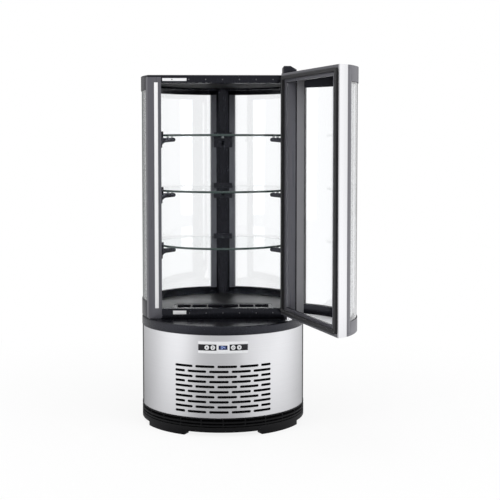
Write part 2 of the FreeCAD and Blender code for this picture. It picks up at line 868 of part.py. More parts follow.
def rear_post():
    foot_r = body_r - shadow_gap_w
    core = sector(post_in_r, body_r, 180 - rear_core_deg, 180 + rear_core_deg, cabin_z, roof_low)
    foot = sector(post_in_r, foot_r, 180 - rear_core_deg, 180 + rear_core_deg, ledge_z, cabin_z)
    low = glass_low + fit_gap
    high = glass_high - fit_gap
    tongue = sector(post_in_r, tongue_r, 180 - rear_post_deg, 180 + rear_post_deg, low, high)
    channel_deg = math.degrees(rear_channel_w / 2 / post_in_r)
    groove_deg = math.degrees(rear_groove_w / post_in_r)
    inner = post_in_r - overrun
    tools = [sector(inner, post_in_r + rear_channel_t, 180 - channel_deg, 180 + channel_deg, low, high)]
    for start in (180 - rear_core_deg - groove_deg, 180 + rear_core_deg):
        tools.append(sector(inner, post_in_r + rear_groove_t, start, start + groove_deg, low, high))
    return joined([core, tongue, foot]).cut(tools)


def front_sill():
    foot_y = front_y - shadow_gap_w
    wide = post_in_r
    deck_low = deck_z - deck_t
    bar = joined([block(-wide, wide, -front_y, -sill_back, cabin_z, deck_z),
                  block(-wide, wide, -foot_y, -sill_back, ledge_z, cabin_z),
                  block(-wide, wide, -sill_back, ledge_w - sill_back, deck_low - ledge_t, deck_low)])
    bar = bar.common(Part.makeCylinder(lining_r, roof_z))
    return bar.cut(sill_strike())


def front_header():
    bar = block(-post_in_r, post_in_r, -front_y, -sill_back, ceiling_z, roof_low)
    bar = bar.common(Part.makeCylinder(lining_r, roof_z))
    return bar.cut(header_strike())


def rails(profile):
    sweep = glass_end_deg - glass_start_deg
    right = turned(profile, glass_start_deg, sweep)
    return Part.makeCompound([mirrored(right), right])


def groove_radii():
    inner = glass_in_r - fit_gap
    outer = glass_r + fit_gap
    return inner, outer


def bottom_rails():
    inner, outer = groove_radii()
    foot_r = body_r - shadow_gap_w
    deck_low = deck_z - deck_t
    return rails([(post_in_r, ledge_z), (foot_r, ledge_z), (foot_r, cabin_z), (body_r, cabin_z),
                  (body_r, glass_low), (outer, glass_low), (outer, glass_low - rail_groove),
                  (inner, glass_low - rail_groove), (inner, glass_low), (inner - rail_lip_t, glass_low),
                  (post_in_r, deck_z), (post_in_r, deck_low), (post_in_r - ledge_w, deck_low),
                  (post_in_r - ledge_w, deck_low - ledge_t), (post_in_r, deck_low - ledge_t)])


def top_rails():
    inner, outer = groove_radii()
    return rails([(post_in_r, roof_low), (body_r, roof_low), (body_r, glass_high), (outer, glass_high),
                  (outer, glass_high + rail_groove), (inner, glass_high + rail_groove), (inner, glass_high),
                  (inner - rail_lip_t, glass_high), (post_in_r, ceiling_z - ledge_t),
                  (post_in_r - ledge_w, ceiling_z - ledge_t), (post_in_r - ledge_w, ceiling_z),
                  (post_in_r, ceiling_z)])


def pane_pair(inner, outer):
    low = glass_low - rail_groove + fit_gap
    high = glass_high + rail_groove - fit_gap
    right = sector(inner, outer, glass_start_deg, glass_end_deg, low, high)
    return Part.makeCompound([mirrored(right), right])


def pane_spacers():
    low = glass_low - rail_groove + fit_gap
    high = glass_high + rail_groove - fit_gap
    inner = glass_in_r + pane_t + seat_gap
    outer = glass_r - pane_t - seat_gap
    edge_deg = math.degrees(spacer_w / outer)
    right = sector(inner, outer, glass_start_deg, glass_end_deg, low, high)
    right = right.cut(sector(inner - overrun, outer + overrun, glass_start_deg + edge_deg,
                             glass_end_deg - edge_deg, low + spacer_w, high - spacer_w))
    return Part.makeCompound([mirrored(right), right])


def grille_outline(margin, low, high):
    # The dark panel at the deck's front edge, with its two rear corners rounded.
    half = grille_half_w - margin
    front = -lining_front + margin
    back = -lining_front + grille_depth - margin
    corner = grille_corner - margin
    slant = corner * (1 - math.sqrt(1 / 2))
    return prism(low, high, Vector(-half, front), Vector(half, front), Vector(half, back - corner),
                 (Vector(half - slant, back - slant), Vector(half - corner, back)),
                 Vector(corner - half, back),
                 (Vector(slant - half, back - slant), Vector(-half, back - corner)))


def deck_plate():
    plate = cut_round(lining_r, lining_front, deck_z - deck_t, deck_z)
    opening = grille_outline(0, deck_z - deck_t - overrun, deck_z + overrun)
    return plate.cut([opening, block(-grille_half_w, grille_half_w, -front_y, -lining_front + fit_gap,
                                     deck_z - deck_t - overrun, deck_z + overrun)])


def air_grille():
    high = deck_z - deck_t / 2
    low = deck_z - deck_t
    panel = grille_outline(fit_gap, low, high)
    deep = grille_outline(fit_gap + ledge_w, high - grille_t, high)
    well = grille_outline(fit_gap + ledge_w + grille_frame_w, high - grille_t - overrun, high + overrun)
    whole = joined([panel, deep]).cut(well)
    inner_half = grille_half_w - fit_gap - ledge_w
    step = 2 * inner_half / (grille_rib_count + 1)
    front = -lining_front + fit_gap + ledge_w
    back = -lining_front + grille_depth - fit_gap - ledge_w
    ribs = []
    for rib in range(grille_rib_count):
        middle = -inner_half + step * (rib + 1)
        ribs.append(block(middle - grille_rib_t / 2, middle + grille_rib_t / 2, front + grille_frame_w / 2,
                          back - grille_frame_w / 2, high - grille_t, high))
    return joined([whole] + ribs)


def ceiling_panel():
    return cut_round(lining_r, lining_front, ceiling_z, roof_low)


def roof_cap():
    cap = cut_round(body_r, front_y, roof_low, roof_z)
    top_edges = [edge for edge in cap.Edges if edge.BoundBox.ZMin > roof_z - roof_edge / 2]
    return cap.makeFillet(roof_edge, top_edges)


def shelf_top(index):
    return deck_z + shelf_first_h + index * shelf_pitch


def shelf(index):
    disc = Part.makeCylinder(shelf_r, shelf_t, Vector(0, 0, shelf_top(index) - shelf_t))
    return disc.makeChamfer(shelf_edge, disc.Edges[:1] + disc.Edges[2:])


def seat_z(index):
    return shelf_top(index) - shelf_t - seat_gap - pad_h


def bracket(index, root_w):
    # Arm with a hollow-curved gusset, drawn along +X and turned to its post.
    root = math.sqrt(post_in_r ** 2 - (root_w / 2) ** 2) - seat_gap
    tip = root - bracket_reach + bracket_nose
    knob = shelf_r + shelf_play
    seat = seat_z(index)
    top = shelf_top(index) + knob_rise
    low = seat - bracket_root_h
    inner = root - bracket_root_t
    tip_low = seat - bracket_tip_h
    y = -bracket_t / 2
    foot_low = Vector(inner, y, low)
    under_tip = Vector(tip, y, tip_low)
    knee = Vector(root - bracket_knee_w, y, tip_low - bracket_knee_drop)
    hollow = Vector(inner - (inner - knee.x) * bracket_hollow_share, y,
                    knee.z - (knee.z - low) * bracket_hollow_share)
    nose = Vector(tip - bracket_nose, y, (seat + tip_low) / 2)
    corners = [foot_low, Vector(root, y, low), Vector(root, y, top), Vector(knob, y, top),
               Vector(knob, y, seat), Vector(tip, y, seat)]
    edges = [Part.LineSegment(a, b).toShape() for a, b in zip(corners, corners[1:])]
    edges.append(Part.Arc(corners[-1], nose, under_tip).toShape())
    edges.append(Part.LineSegment(under_tip, knee).toShape())
    edges.append(Part.Arc(knee, hollow, foot_low).toShape())
    arm = Part.Face(Part.Wire(edges)).extrude(Vector(0, bracket_t, 0))
    foot = block(inner, root, -root_w / 2, root_w / 2, low, top)
    return joined([arm, foot])


def bracket_places():
    # Plan angle and root width of the bracket on each of the three posts.
    return ((-bracket_deg, bracket_root_w), (bracket_deg, bracket_root_w), (180, rear_bracket_w))


def shelf_brackets():
    solids = []
    for index in range(shelf_count):
        for angle, root_w in bracket_places():
            solids.append(turned_to(bracket(index, root_w), angle - 90))
    return Part.makeCompound(solids)


def shelf_pads():
    pads = []
    for index in range(shelf_count):
        for angle, root_w in bracket_places():
            root = math.sqrt(post_in_r ** 2 - (root_w / 2) ** 2) - seat_gap
            for step in range(pad_count):
                radius = root - bracket_reach + pad_from_tip + step * pad_pitch
                pads.append(Part.makeCylinder(pad_r, pad_h, at(radius, angle, seat_z(index))))
    return Part.makeCompound(pads)


def pivot(height):
    return Vector(pivot_x, -pivot_y, height)


def top_hinge_bracket():
    arm_low = door_top + gasket_gap
    arm_high = arm_low + hinge_arm_t
    foot_front = -front_y + hinge_foot_set
    left = pivot_x - hinge_arm_half_w
    right = pivot_x + hinge_arm_half_w
    foot = block(left, right, foot_front, foot_front + hinge_foot_len, roof_z, arm_high)
    arm = block(left, right, -pivot_y, foot_front, arm_low, arm_high)
    end = Part.makeCylinder(hinge_arm_half_w, hinge_arm_t, pivot(arm_low))
    pin = rod(pin_r, pivot(door_top - door_plate_t + pin_end_gap), pivot(arm_high))
    return joined([foot, arm, end, pin])


def cover_shell(margin, low):
    front = -pivot_y - cover_front + margin
    back = -front_y + hinge_foot_set + hinge_foot_len + cover_back - margin
    top = roof_z + cover_h - margin
    left = pivot_x - cover_left + margin
    right = pivot_x + cover_right - margin
    end_top = roof_z + cover_end_h - margin / 2
    corners = [Vector(left, front, low), Vector(left, front, top),
               Vector(pivot_x + cover_flat - margin / 2, front, top), Vector(right, front, end_top),
               Vector(right, front, low)]
    face = Part.Face(Part.makePolygon(corners + corners[:1]))
    return face.extrude(Vector(0, back - front, 0))


def top_hinge_cover():
    shell = cover_shell(0, roof_z).cut(cover_shell(cover_wall, roof_z - overrun))
    over_door = block(pivot_x - cover_left - overrun, pivot_x + cover_right + overrun,
                      -pivot_y - cover_front - overrun, -front_y + shadow_gap_w,
                      roof_z - overrun, door_top + gasket_gap)
    return shell.cut(over_door)


def bottom_hinge_bracket():
    plate_top = ledge_z + bottom_hinge_t
    boss_top = door_z - fit_gap
    back = -pivot_y + bottom_hinge_back
    plate = block(pivot_x - bottom_hinge_half_w, pivot_x + bottom_hinge_half_w,
                  -pivot_y - bottom_hinge_half_w, back, ledge_z, plate_top)
    boss = rod(bottom_boss_r, pivot(ledge_z), pivot(boss_top))
    on_ledge = plate.fuse(boss).common(Part.makeCylinder(body_r - collar_edge, roof_z))
    pin = rod(pin_r, pivot(ledge_z), pivot(door_z + door_plate_t - pin_end_gap))
    x = pivot_x - bottom_gusset_t / 2
    corners = [Vector(x, -pivot_y, ledge_z), Vector(x, -pivot_y, boss_top), Vector(x, back, plate_top),
               Vector(x, back, ledge_z)]
    gusset = Part.Face(Part.makePolygon(corners + corners[:1])).extrude(Vector(bottom_gusset_t, 0, 0))
    return joined([on_ledge, pin, gusset])


def facet():
    # The flat corner of the closed door's latch side: its two ends and its inward normal.
    start = Vector(-latch_x, -door_plane)
    end = Vector(-math.sqrt(body_r ** 2 - facet_y ** 2), -facet_y)
    along = (end - start).normalize()
    return start, end, along, Vector(-along.y, along.x)


def behind_handle(y):
    # Where the handle's back, with its seat gap, crosses a plane parallel to the cabin front.
    start, end, along, inward = facet()
    base = start + inward * (handle_t + seat_gap)
    return base + along * ((-y - base.y) / along.y)


def door_core(low, high):
    # The closed door's plan behind its inner frame: round outside, flat inside.
    near = behind_handle(door_stile_y)
    far = behind_handle(body_r)
    outline = prism(low, high, Vector(hinge_end_x, -door_stile_y), near, far, Vector(hinge_end_x, -body_r))
    return outline.common(Part.makeCylinder(body_r, high))


def bush_bore(low, high):
    return rod(pin_r + pin_fit, pivot(low - overrun), pivot(high + overrun))


def swung(shape):
    moved = shape.copy()
    moved.rotate(pivot(0), Vector(0, 0, 1), door_open_deg)
    return moved


def rect_ring(x0, x1, z0, z1, width, y0, y1):
    outer = block(x0, x1, y0, y1, z0, z1)
    return outer.cut(block(x0 + width, x1 - width, y0 - overrun, y1 + overrun, z0 + width, z1 - width))


def gasket_ring(width, y0, y1):
    # A ring of the given width, centred on the gasket's own centre line.
    inset = (gasket_w - width) / 2
    low = door_z + gasket_margin
    high = door_top - gasket_margin
    return rect_ring(gasket_latch_set - corner_x + inset, corner_x - gasket_hinge_set - inset,
                     low + inset, high - inset, width, y0, y1)


def door_inner_frame():
    near = behind_handle(door_plane)
    far = behind_handle(door_back)
    panel = prism(door_z, door_top, Vector(hinge_end_x, -door_plane), near, far,
                  Vector(hinge_end_x, -door_back))
    window = block(-door_window_x, door_window_x, -door_back - overrun, -door_plane + overrun,
                   door_z + door_bar_h, door_top - door_bar_h)
    groove = gasket_ring(gasket_dart_w + 2 * seat_gap, -door_plane - gasket_dart_t - seat_gap,
                         -door_plane + overrun)
    return panel.cut([window, groove])


def door_gasket():
    back = -door_plane + seat_gap
    front = -front_y - gasket_gap
    base_front = back + gasket_base_t
    head_back = front - gasket_head_t
    return joined([gasket_ring(gasket_w, back, base_front),
                   gasket_ring(gasket_neck_w, base_front, head_back),
                   gasket_ring(gasket_w, head_back, front),
                   gasket_ring(gasket_dart_w, back - gasket_dart_t, back)])


def door_glass_levels():
    low = door_z + door_bottom_band_h
    high = door_top - door_top_band_h
    return low, high


def door_glass_span(more):
    # Plan angles of the glass between the stiles, reaching on by the given arc at each end.
    more_deg = math.degrees(more / glass_r)
    return -door_glass_latch_deg - more_deg, door_glass_hinge_deg + more_deg


def glass_channel(low, high):
    # The groove that the door's curved glazing drops into.
    inner, outer = groove_radii()
    start, end = door_glass_span(door_glass_bite + fit_gap)
    return sector(inner, outer, start, end, low, high)


def door_band(low, high):
    start, end = door_glass_span(-fit_gap)
    return sector(door_band_r, body_r, start, end, low, high)


def door_top_cap():
    band_low = door_glass_levels()[1]
    plate_low = door_top - door_plate_t
    cap = joined([door_core(plate_low, door_top), door_band(band_low, plate_low + seat_gap)])
    return cap.cut([glass_channel(band_low - overrun, band_low + door_glass_bite),
                    bush_bore(plate_low, door_top)])


def door_bottom_cap():
    band_high = door_glass_levels()[0]
    plate_high = door_z + door_plate_t
    cap = joined([door_core(door_z, plate_high), door_band(plate_high - seat_gap, band_high)])
    return cap.cut([glass_channel(band_high - door_glass_bite, band_high + overrun),
                    bush_bore(door_z, plate_high)])


def door_stile(side):
    low = door_z + door_plate_t + seat_gap
    high = door_top - door_plate_t - seat_gap
    edge = door_glass_span(0)[side > 0]
    near = Vector(side * door_window_x, -door_stile_y)
    far = at(door_band_r, edge)
    region = prism(low, high, near, Vector(side * 2 * body_r, -door_stile_y), at(2 * body_r, edge), far)
    stile = door_core(low, high).common(region)
    line = near + (far - near) * stile_bead_share
    bead = rod(stile_bead_r, line + Vector(0, 0, low - overrun), line + Vector(0, 0, high + overrun))
    return stile.cut([glass_channel(low - overrun, high + overrun), bead])


def door_floor_plate():
    low = door_z + door_plate_t
    reach = door_band_r - fit_gap
    start, end = door_glass_span(-2 * fit_gap)
    side = door_window_x - fit_gap
    front = -door_stile_y - fit_gap
    return prism(low, low + door_floor_t, Vector(-side, front), Vector(side, front), at(reach, end),
                 arc(reach, end, start))


def door_handle():
    start, end, along, inward = facet()
    bevelled = start + along * handle_bevel
    back = start + inward * handle_t
    return prism(door_z, door_top, bevelled, end, end + inward * handle_t, back,
                 start + inward * handle_bevel)


def door_pane(inner, outer):
    low, high = door_glass_levels()
    start, end = door_glass_span(door_glass_bite)
    bite = door_glass_bite - fit_gap
    return sector(inner, outer, start, end, low - bite, high + bite)


def door_spacer():
    inner = glass_in_r + pane_t + seat_gap
    outer = glass_r - pane_t - seat_gap
    low, high = door_glass_levels()
    start, end = door_glass_span(door_glass_bite - spacer_w)
    hollow = sector(inner - overrun, outer + overrun, start, end,
                    low - door_glass_bite + spacer_w, high + door_glass_bite - spacer_w)
    return door_pane(inner, outer).cut(hollow)


# Base
pieces["plinth_ring"] = plinth_ring()
pieces["base_plate"] = base_plate()
pieces["front_wrap"] = front_wrap()
pieces["rear_casing"] = rear_casing()
pieces["mains_gland"] = mains_gland()
pieces["collar"] = collar()
pieces["insulated_tub"] = insulated_tub()

# Refrigeration
pieces["compressor"] = compressor()
pieces["compressor_mounts"] = compressor_mounts()
pieces["condenser_coil"] = condenser_coil()
pieces["condenser_shroud"] = condenser_shroud()
pieces["condenser_fan_motor"] = condenser_fan_motor()
pieces["condenser_fan"] = condenser_fan()
pieces["evaporator_coil"] = evaporator_coil()
pieces["evaporator_fan_motor"] = evaporator_fan_motor()
pieces["evaporator_fan"] = evaporator_fan()
pieces["drain_pan"] = drain_pan()
pieces["refrigerant_pipes"] = refrigerant_pipes()

# Control panel
pieces["controller_box"] = controller_box()
pieces["control_bezel"] = control_bezel()
pieces["control_fascia"] = control_fascia()
pieces["display_window"] = display_window()
for name, angle in button_angles().items():
    pieces[name] = button(angle)

# Cabin
pieces["left_post"] = mirrored(front_post()).cut(latch_strike())
pieces["right_post"] = front_post()
pieces["rear_post"] = rear_post()
pieces["front_sill"] = front_sill()
pieces["front_header"] = front_header()
pieces["bottom_rails"] = bottom_rails()
pieces["top_rails"] = top_rails()
pieces["outer_panes"] = pane_pair(glass_r - pane_t, glass_r)
pieces["inner_panes"] = pane_pair(glass_in_r, glass_in_r + pane_t)
pieces["pane_spacers"] = pane_spacers()
pieces["strike_strips"] = Part.makeCompound([latch_strike(), header_strike(), sill_strike()])
pieces["deck_plate"] = deck_plate()
pieces["air_grille"] = air_grille()
pieces["ceiling_panel"] = ceiling_panel()
pieces["roof_cap"] = roof_cap()
pieces["shelf_brackets"] = shelf_brackets()
pieces["shelf_pads"] = shelf_pads()
for index, name in enumerate(("lower_shelf", "middle_shelf", "upper_shelf")):
    pieces[name] = shelf(index)

# Hinges and door
pieces["top_hinge_bracket"] = top_hinge_bracket()
pieces["top_hinge_cover"] = top_hinge_cover()
pieces["bottom_hinge_bracket"] = bottom_hinge_bracket()
pieces["door_inner_frame"] = swung(door_inner_frame())
pieces["door_gasket"] = swung(door_gasket())
pieces["door_latch_stile"] = swung(door_stile(-1))
pieces["door_hinge_stile"] = swung(door_stile(1))
pieces["door_top_cap"] = swung(door_top_cap())
pieces["door_bottom_cap"] = swung(door_bottom_cap())
pieces["door_floor_plate"] = swung(door_floor_plate())
pieces["door_handle"] = swung(door_handle())
pieces["door_outer_glass"] = swung(door_pane(glass_r - pane_t, glass_r))
pieces["door_inner_glass"] = swung(door_pane(glass_in_r, glass_in_r + pane_t))
pieces["door_spacer"] = swung(door_spacer())

os.makedirs("parts", exist_ok=True)
for name, shape in pieces.items():
    shape.exportStep("parts/" + name + ".step")
    print(name, len(shape.Solids), shape.isValid(), round(shape.Volume))
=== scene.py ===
import json
import math

import bmesh
import bpy
from mathutils import Matrix, Vector


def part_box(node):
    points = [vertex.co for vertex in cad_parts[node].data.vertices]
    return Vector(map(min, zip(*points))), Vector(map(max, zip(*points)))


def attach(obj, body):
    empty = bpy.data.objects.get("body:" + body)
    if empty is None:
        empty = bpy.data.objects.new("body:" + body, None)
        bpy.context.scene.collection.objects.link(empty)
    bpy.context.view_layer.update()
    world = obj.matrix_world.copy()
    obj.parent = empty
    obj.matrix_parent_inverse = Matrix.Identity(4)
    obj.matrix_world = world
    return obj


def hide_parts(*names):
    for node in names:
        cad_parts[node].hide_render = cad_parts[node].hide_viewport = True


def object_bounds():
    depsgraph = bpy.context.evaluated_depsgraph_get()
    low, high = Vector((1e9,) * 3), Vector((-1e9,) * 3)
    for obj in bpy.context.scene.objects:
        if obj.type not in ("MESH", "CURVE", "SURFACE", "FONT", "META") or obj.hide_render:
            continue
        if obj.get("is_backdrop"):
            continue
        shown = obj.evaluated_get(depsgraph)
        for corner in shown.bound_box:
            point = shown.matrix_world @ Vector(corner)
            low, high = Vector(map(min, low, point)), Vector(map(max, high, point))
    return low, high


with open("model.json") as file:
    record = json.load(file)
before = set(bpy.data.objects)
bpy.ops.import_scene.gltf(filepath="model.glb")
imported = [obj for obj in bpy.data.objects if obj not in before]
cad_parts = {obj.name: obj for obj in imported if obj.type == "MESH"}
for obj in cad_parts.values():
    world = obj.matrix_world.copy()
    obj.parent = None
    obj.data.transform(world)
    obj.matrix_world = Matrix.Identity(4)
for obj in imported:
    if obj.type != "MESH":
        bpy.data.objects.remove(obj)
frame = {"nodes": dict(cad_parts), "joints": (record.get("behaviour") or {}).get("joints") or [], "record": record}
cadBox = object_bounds()
nodes = frame["nodes"]
record = frame["record"]
scene = bpy.context.scene
bodyOf = {node: body for body, held in record["behaviour"]["bodies"].items() for node in held}
slotOf = {row["node"]: row["material_slot"] for row in record["subparts"]}
mm = 0.001


# camera, floor and light
viewpoint = {"place": (0.0028, -3.1903, 0.8167), "turnDeg": 1.393, "tipDeg": 3.314,
             "sensor": 36.0, "lens": 77.49, "shiftY": -0.09}
studio = {
    "floorSize": 16.0, "floorTone": 0.9,
    "shadowKept": 0.14, "fadeNear": 0.3, "fadeFar": 1.5,  # the shadow fades out between these reaches
    "floorMirrored": 1.02,
    "mirroredShadeNear": 0.35, "mirroredShadeFar": 1.6, "mirroredShadeKept": 0.42,  # painted shadow: the floor that metal mirrors is darkened close by
    "fill": 0.62, "aim": (0, 0, 0.55),
    "softboxes": {
        "left": {"place": (-2.3, -1.5, 1.5), "size": (1.4, 2.4), "watts": 24.0},
        "right": {"place": (2.3, -1.5, 1.5), "size": (1.4, 2.4), "watts": 24.0},
        "top": {"place": (0.0, -0.6, 2.9), "size": (2.0, 2.0), "watts": 20.0},
    },
    # what metal and gloss mirror: degrees round from the front, left to right, and the tone there
    "mirrored": ((-180, 0.30), (-166, 0.12), (-151, 0.52), (-130, 0.66), (-103, 0.90), (-82, 1.27),
                 (-64, 1.42), (-48, 1.30), (-33, 0.82), (-18, 0.74), (0, 0.77), (18, 0.84), (33, 1.24),
                 (48, 1.46), (64, 1.45), (82, 1.44), (103, 1.18), (130, 0.82), (151, 0.6), (166, 0.12),
                 (180, 0.30)),
    "cool": 1.02,  # blue over red in what is mirrored
}


def addNode(tree, kind, inputs=None, **settings):
    node = tree.nodes.new(kind)
    for name, value in settings.items():
        setattr(node, name, value)
    for name, value in (inputs or {}).items():
        node.inputs[name].default_value = value
    return node


def setCamera():
    eye = bpy.data.cameras.new("eye")
    eye.sensor_width = viewpoint["sensor"]
    eye.lens = viewpoint["lens"]
    eye.shift_y = viewpoint["shiftY"]
    holder = bpy.data.objects.new("eye", eye)
    holder.location = viewpoint["place"]
    holder.rotation_euler = (math.radians(90 - viewpoint["tipDeg"]), 0, math.radians(-viewpoint["turnDeg"]))
    scene.collection.objects.link(holder)
    scene.camera = holder


def seenRay(tree):
    # 1 for rays that end in the picture: straight, mirrored or through glass
    path = addNode(tree, "ShaderNodeLightPath")
    first = addNode(tree, "ShaderNodeMath", operation="MAXIMUM")
    both = addNode(tree, "ShaderNodeMath", operation="MAXIMUM")
    tree.links.new(path.outputs["Is Camera Ray"], first.inputs[0])
    tree.links.new(path.outputs["Is Glossy Ray"], first.inputs[1])
    tree.links.new(first.outputs[0], both.inputs[0])
    tree.links.new(path.outputs["Is Transmission Ray"], both.inputs[1])
    return path, both.outputs[0]


def ringTone(tree, outward):
    # the studio's tone by where a line points round the object
    split = addNode(tree, "ShaderNodeSeparateXYZ")
    front = addNode(tree, "ShaderNodeMath", {1: -1.0}, operation="MULTIPLY")
    turned = addNode(tree, "ShaderNodeMath", operation="ARCTAN2")
    spread = addNode(tree, "ShaderNodeMapRange", {"From Min": -math.pi, "From Max": math.pi})
    ramp = addNode(tree, "ShaderNodeValToRGB")
    stops = studio["mirrored"]
    while len(ramp.color_ramp.elements) < len(stops):
        ramp.color_ramp.elements.new(0.5)
    for element, (degrees, tone) in zip(ramp.color_ramp.elements, stops):
        element.position = (degrees + 180) / 360
        element.color = (tone, tone, tone * studio["cool"], 1)
    tree.links.new(outward, split.inputs[0])
    tree.links.new(split.outputs["Y"], front.inputs[0])
    tree.links.new(split.outputs["X"], turned.inputs[0])
    tree.links.new(front.outputs[0], turned.inputs[1])
    tree.links.new(turned.outputs[0], spread.inputs["Value"])
    tree.links.new(spread.outputs[0], ramp.inputs["Fac"])
    return ramp.outputs["Color"]


def mirrorRay(tree, path):
    # 1 for rays that a surface mirrors, not for those that pass through glass
    through = addNode(tree, "ShaderNodeMath", operation="SUBTRACT", use_clamp=True)
    tree.links.new(path.outputs["Is Glossy Ray"], through.inputs[0])
    tree.links.new(path.outputs["Is Transmission Ray"], through.inputs[1])
    return through.outputs[0]


def setWorld():
    world = bpy.data.worlds.new("studioWorld")
    scene.world = world
    world.cycles.sampling_method = "NONE"  # rays find the world themselves, so mirrored tones stay true
    world.use_nodes = True
    tree = world.node_tree
    tree.nodes.clear()
    path, seen = seenRay(tree)
    place = addNode(tree, "ShaderNodeTexCoord")
    mirrored = addNode(tree, "ShaderNodeBackground", {"Strength": 1.0})
    white = addNode(tree, "ShaderNodeBackground", {"Color": (1, 1, 1, 1), "Strength": 1.0})
    fill = addNode(tree, "ShaderNodeBackground", {"Color": (1, 1, 1, 1), "Strength": studio["fill"]})
    shown = addNode(tree, "ShaderNodeMixShader")
    whole = addNode(tree, "ShaderNodeMixShader")
    out = addNode(tree, "ShaderNodeOutputWorld")
    tree.links.new(ringTone(tree, place.outputs["Generated"]), mirrored.inputs["Color"])
    tree.links.new(mirrorRay(tree, path), shown.inputs["Fac"])
    tree.links.new(white.outputs[0], shown.inputs[1])
    tree.links.new(mirrored.outputs[0], shown.inputs[2])
    tree.links.new(seen, whole.inputs["Fac"])
    tree.links.new(fill.outputs[0], whole.inputs[1])
    tree.links.new(shown.outputs[0], whole.inputs[2])
    tree.links.new(whole.outputs[0], out.inputs["Surface"])


def setFloor():
    half = studio["floorSize"] / 2
    mesh = bpy.data.meshes.new("floor")
    corners = [(x * half, y * half, 0) for x, y in ((-1, -1), (1, -1), (1, 1), (-1, 1))]
    mesh.from_pydata(corners, [], [(0, 1, 2, 3)])
    floor = bpy.data.objects.new("floor", mesh)
    scene.collection.objects.link(floor)
    material = bpy.data.materials.new("paleFloor")
    material.use_nodes = True
    tree = material.node_tree
    tree.nodes.clear()
    tone = studio["floorTone"]
    paint = addNode(tree, "ShaderNodeBsdfDiffuse", {"Color": (tone, tone, tone, 1)})
    white = addNode(tree, "ShaderNodeEmission", {"Color": (1, 1, 1, 1), "Strength": 1.0})
    mirrored = addNode(tree, "ShaderNodeEmission")
    path, seen = seenRay(tree)
    place = addNode(tree, "ShaderNodeTexCoord")
    reach = addNode(tree, "ShaderNodeVectorMath", operation="LENGTH")
    fade = addNode(tree, "ShaderNodeMapRange", {"From Min": studio["fadeNear"], "From Max": studio["fadeFar"],
                                                "To Min": 1 - studio["shadowKept"], "To Max": 1.0},
                   interpolation_type="SMOOTHSTEP")
    share = addNode(tree, "ShaderNodeMath", operation="MULTIPLY")
    far = studio["floorMirrored"]
    # painted shadow: what metal mirrors of the floor is darkened close to the object
    mirroredShade = addNode(tree, "ShaderNodeMapRange", {
        "From Min": studio["mirroredShadeNear"], "From Max": studio["mirroredShadeFar"],
        "To Min": far * studio["mirroredShadeKept"], "To Max": far})
    shown = addNode(tree, "ShaderNodeMixShader")
    mix = addNode(tree, "ShaderNodeMixShader")
    out = addNode(tree, "ShaderNodeOutputMaterial")
    tree.links.new(place.outputs["Object"], reach.inputs[0])
    tree.links.new(reach.outputs["Value"], fade.inputs["Value"])
    tree.links.new(fade.outputs[0], share.inputs[0])
    tree.links.new(reach.outputs["Value"], mirroredShade.inputs["Value"])
    tree.links.new(mirroredShade.outputs[0], mirrored.inputs["Strength"])
    tree.links.new(seen, share.inputs[1])
    tree.links.new(ringTone(tree, place.outputs["Object"]), mirrored.inputs["Color"])
    reflected = mirrorRay(tree, path)
    lit = addNode(tree, "ShaderNodeMath", operation="MAXIMUM")
    tree.links.new(share.outputs[0], lit.inputs[0])
    tree.links.new(reflected, lit.inputs[1])
    tree.links.new(reflected, shown.inputs["Fac"])
    tree.links.new(white.outputs[0], shown.inputs[1])
    tree.links.new(mirrored.outputs[0], shown.inputs[2])
    tree.links.new(lit.outputs[0], mix.inputs["Fac"])
    tree.links.new(paint.outputs[0], mix.inputs[1])
    tree.links.new(shown.outputs[0], mix.inputs[2])
    tree.links.new(mix.outputs[0], out.inputs["Surface"])
    mesh.materials.append(material)
    floor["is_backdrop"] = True


def setLights():
    target = Vector(studio["aim"])
    for name, box in studio["softboxes"].items():
        lamp = bpy.data.lights.new(name, "AREA")
        lamp.shape = "RECTANGLE"
        lamp.size, lamp.size_y = box["size"]
        lamp.energy = box["watts"]
        holder = bpy.data.objects.new(name, lamp)
        holder.location = box["place"]
        holder.rotation_euler = (target - holder.location).to_track_quat("-Z", "Y").to_euler()
        holder.visible_glossy = False
        scene.collection.objects.link(holder)


scene.view_settings.view_transform = "Standard"
setCamera()
setWorld()
setFloor()
setLights()
print("studio set")


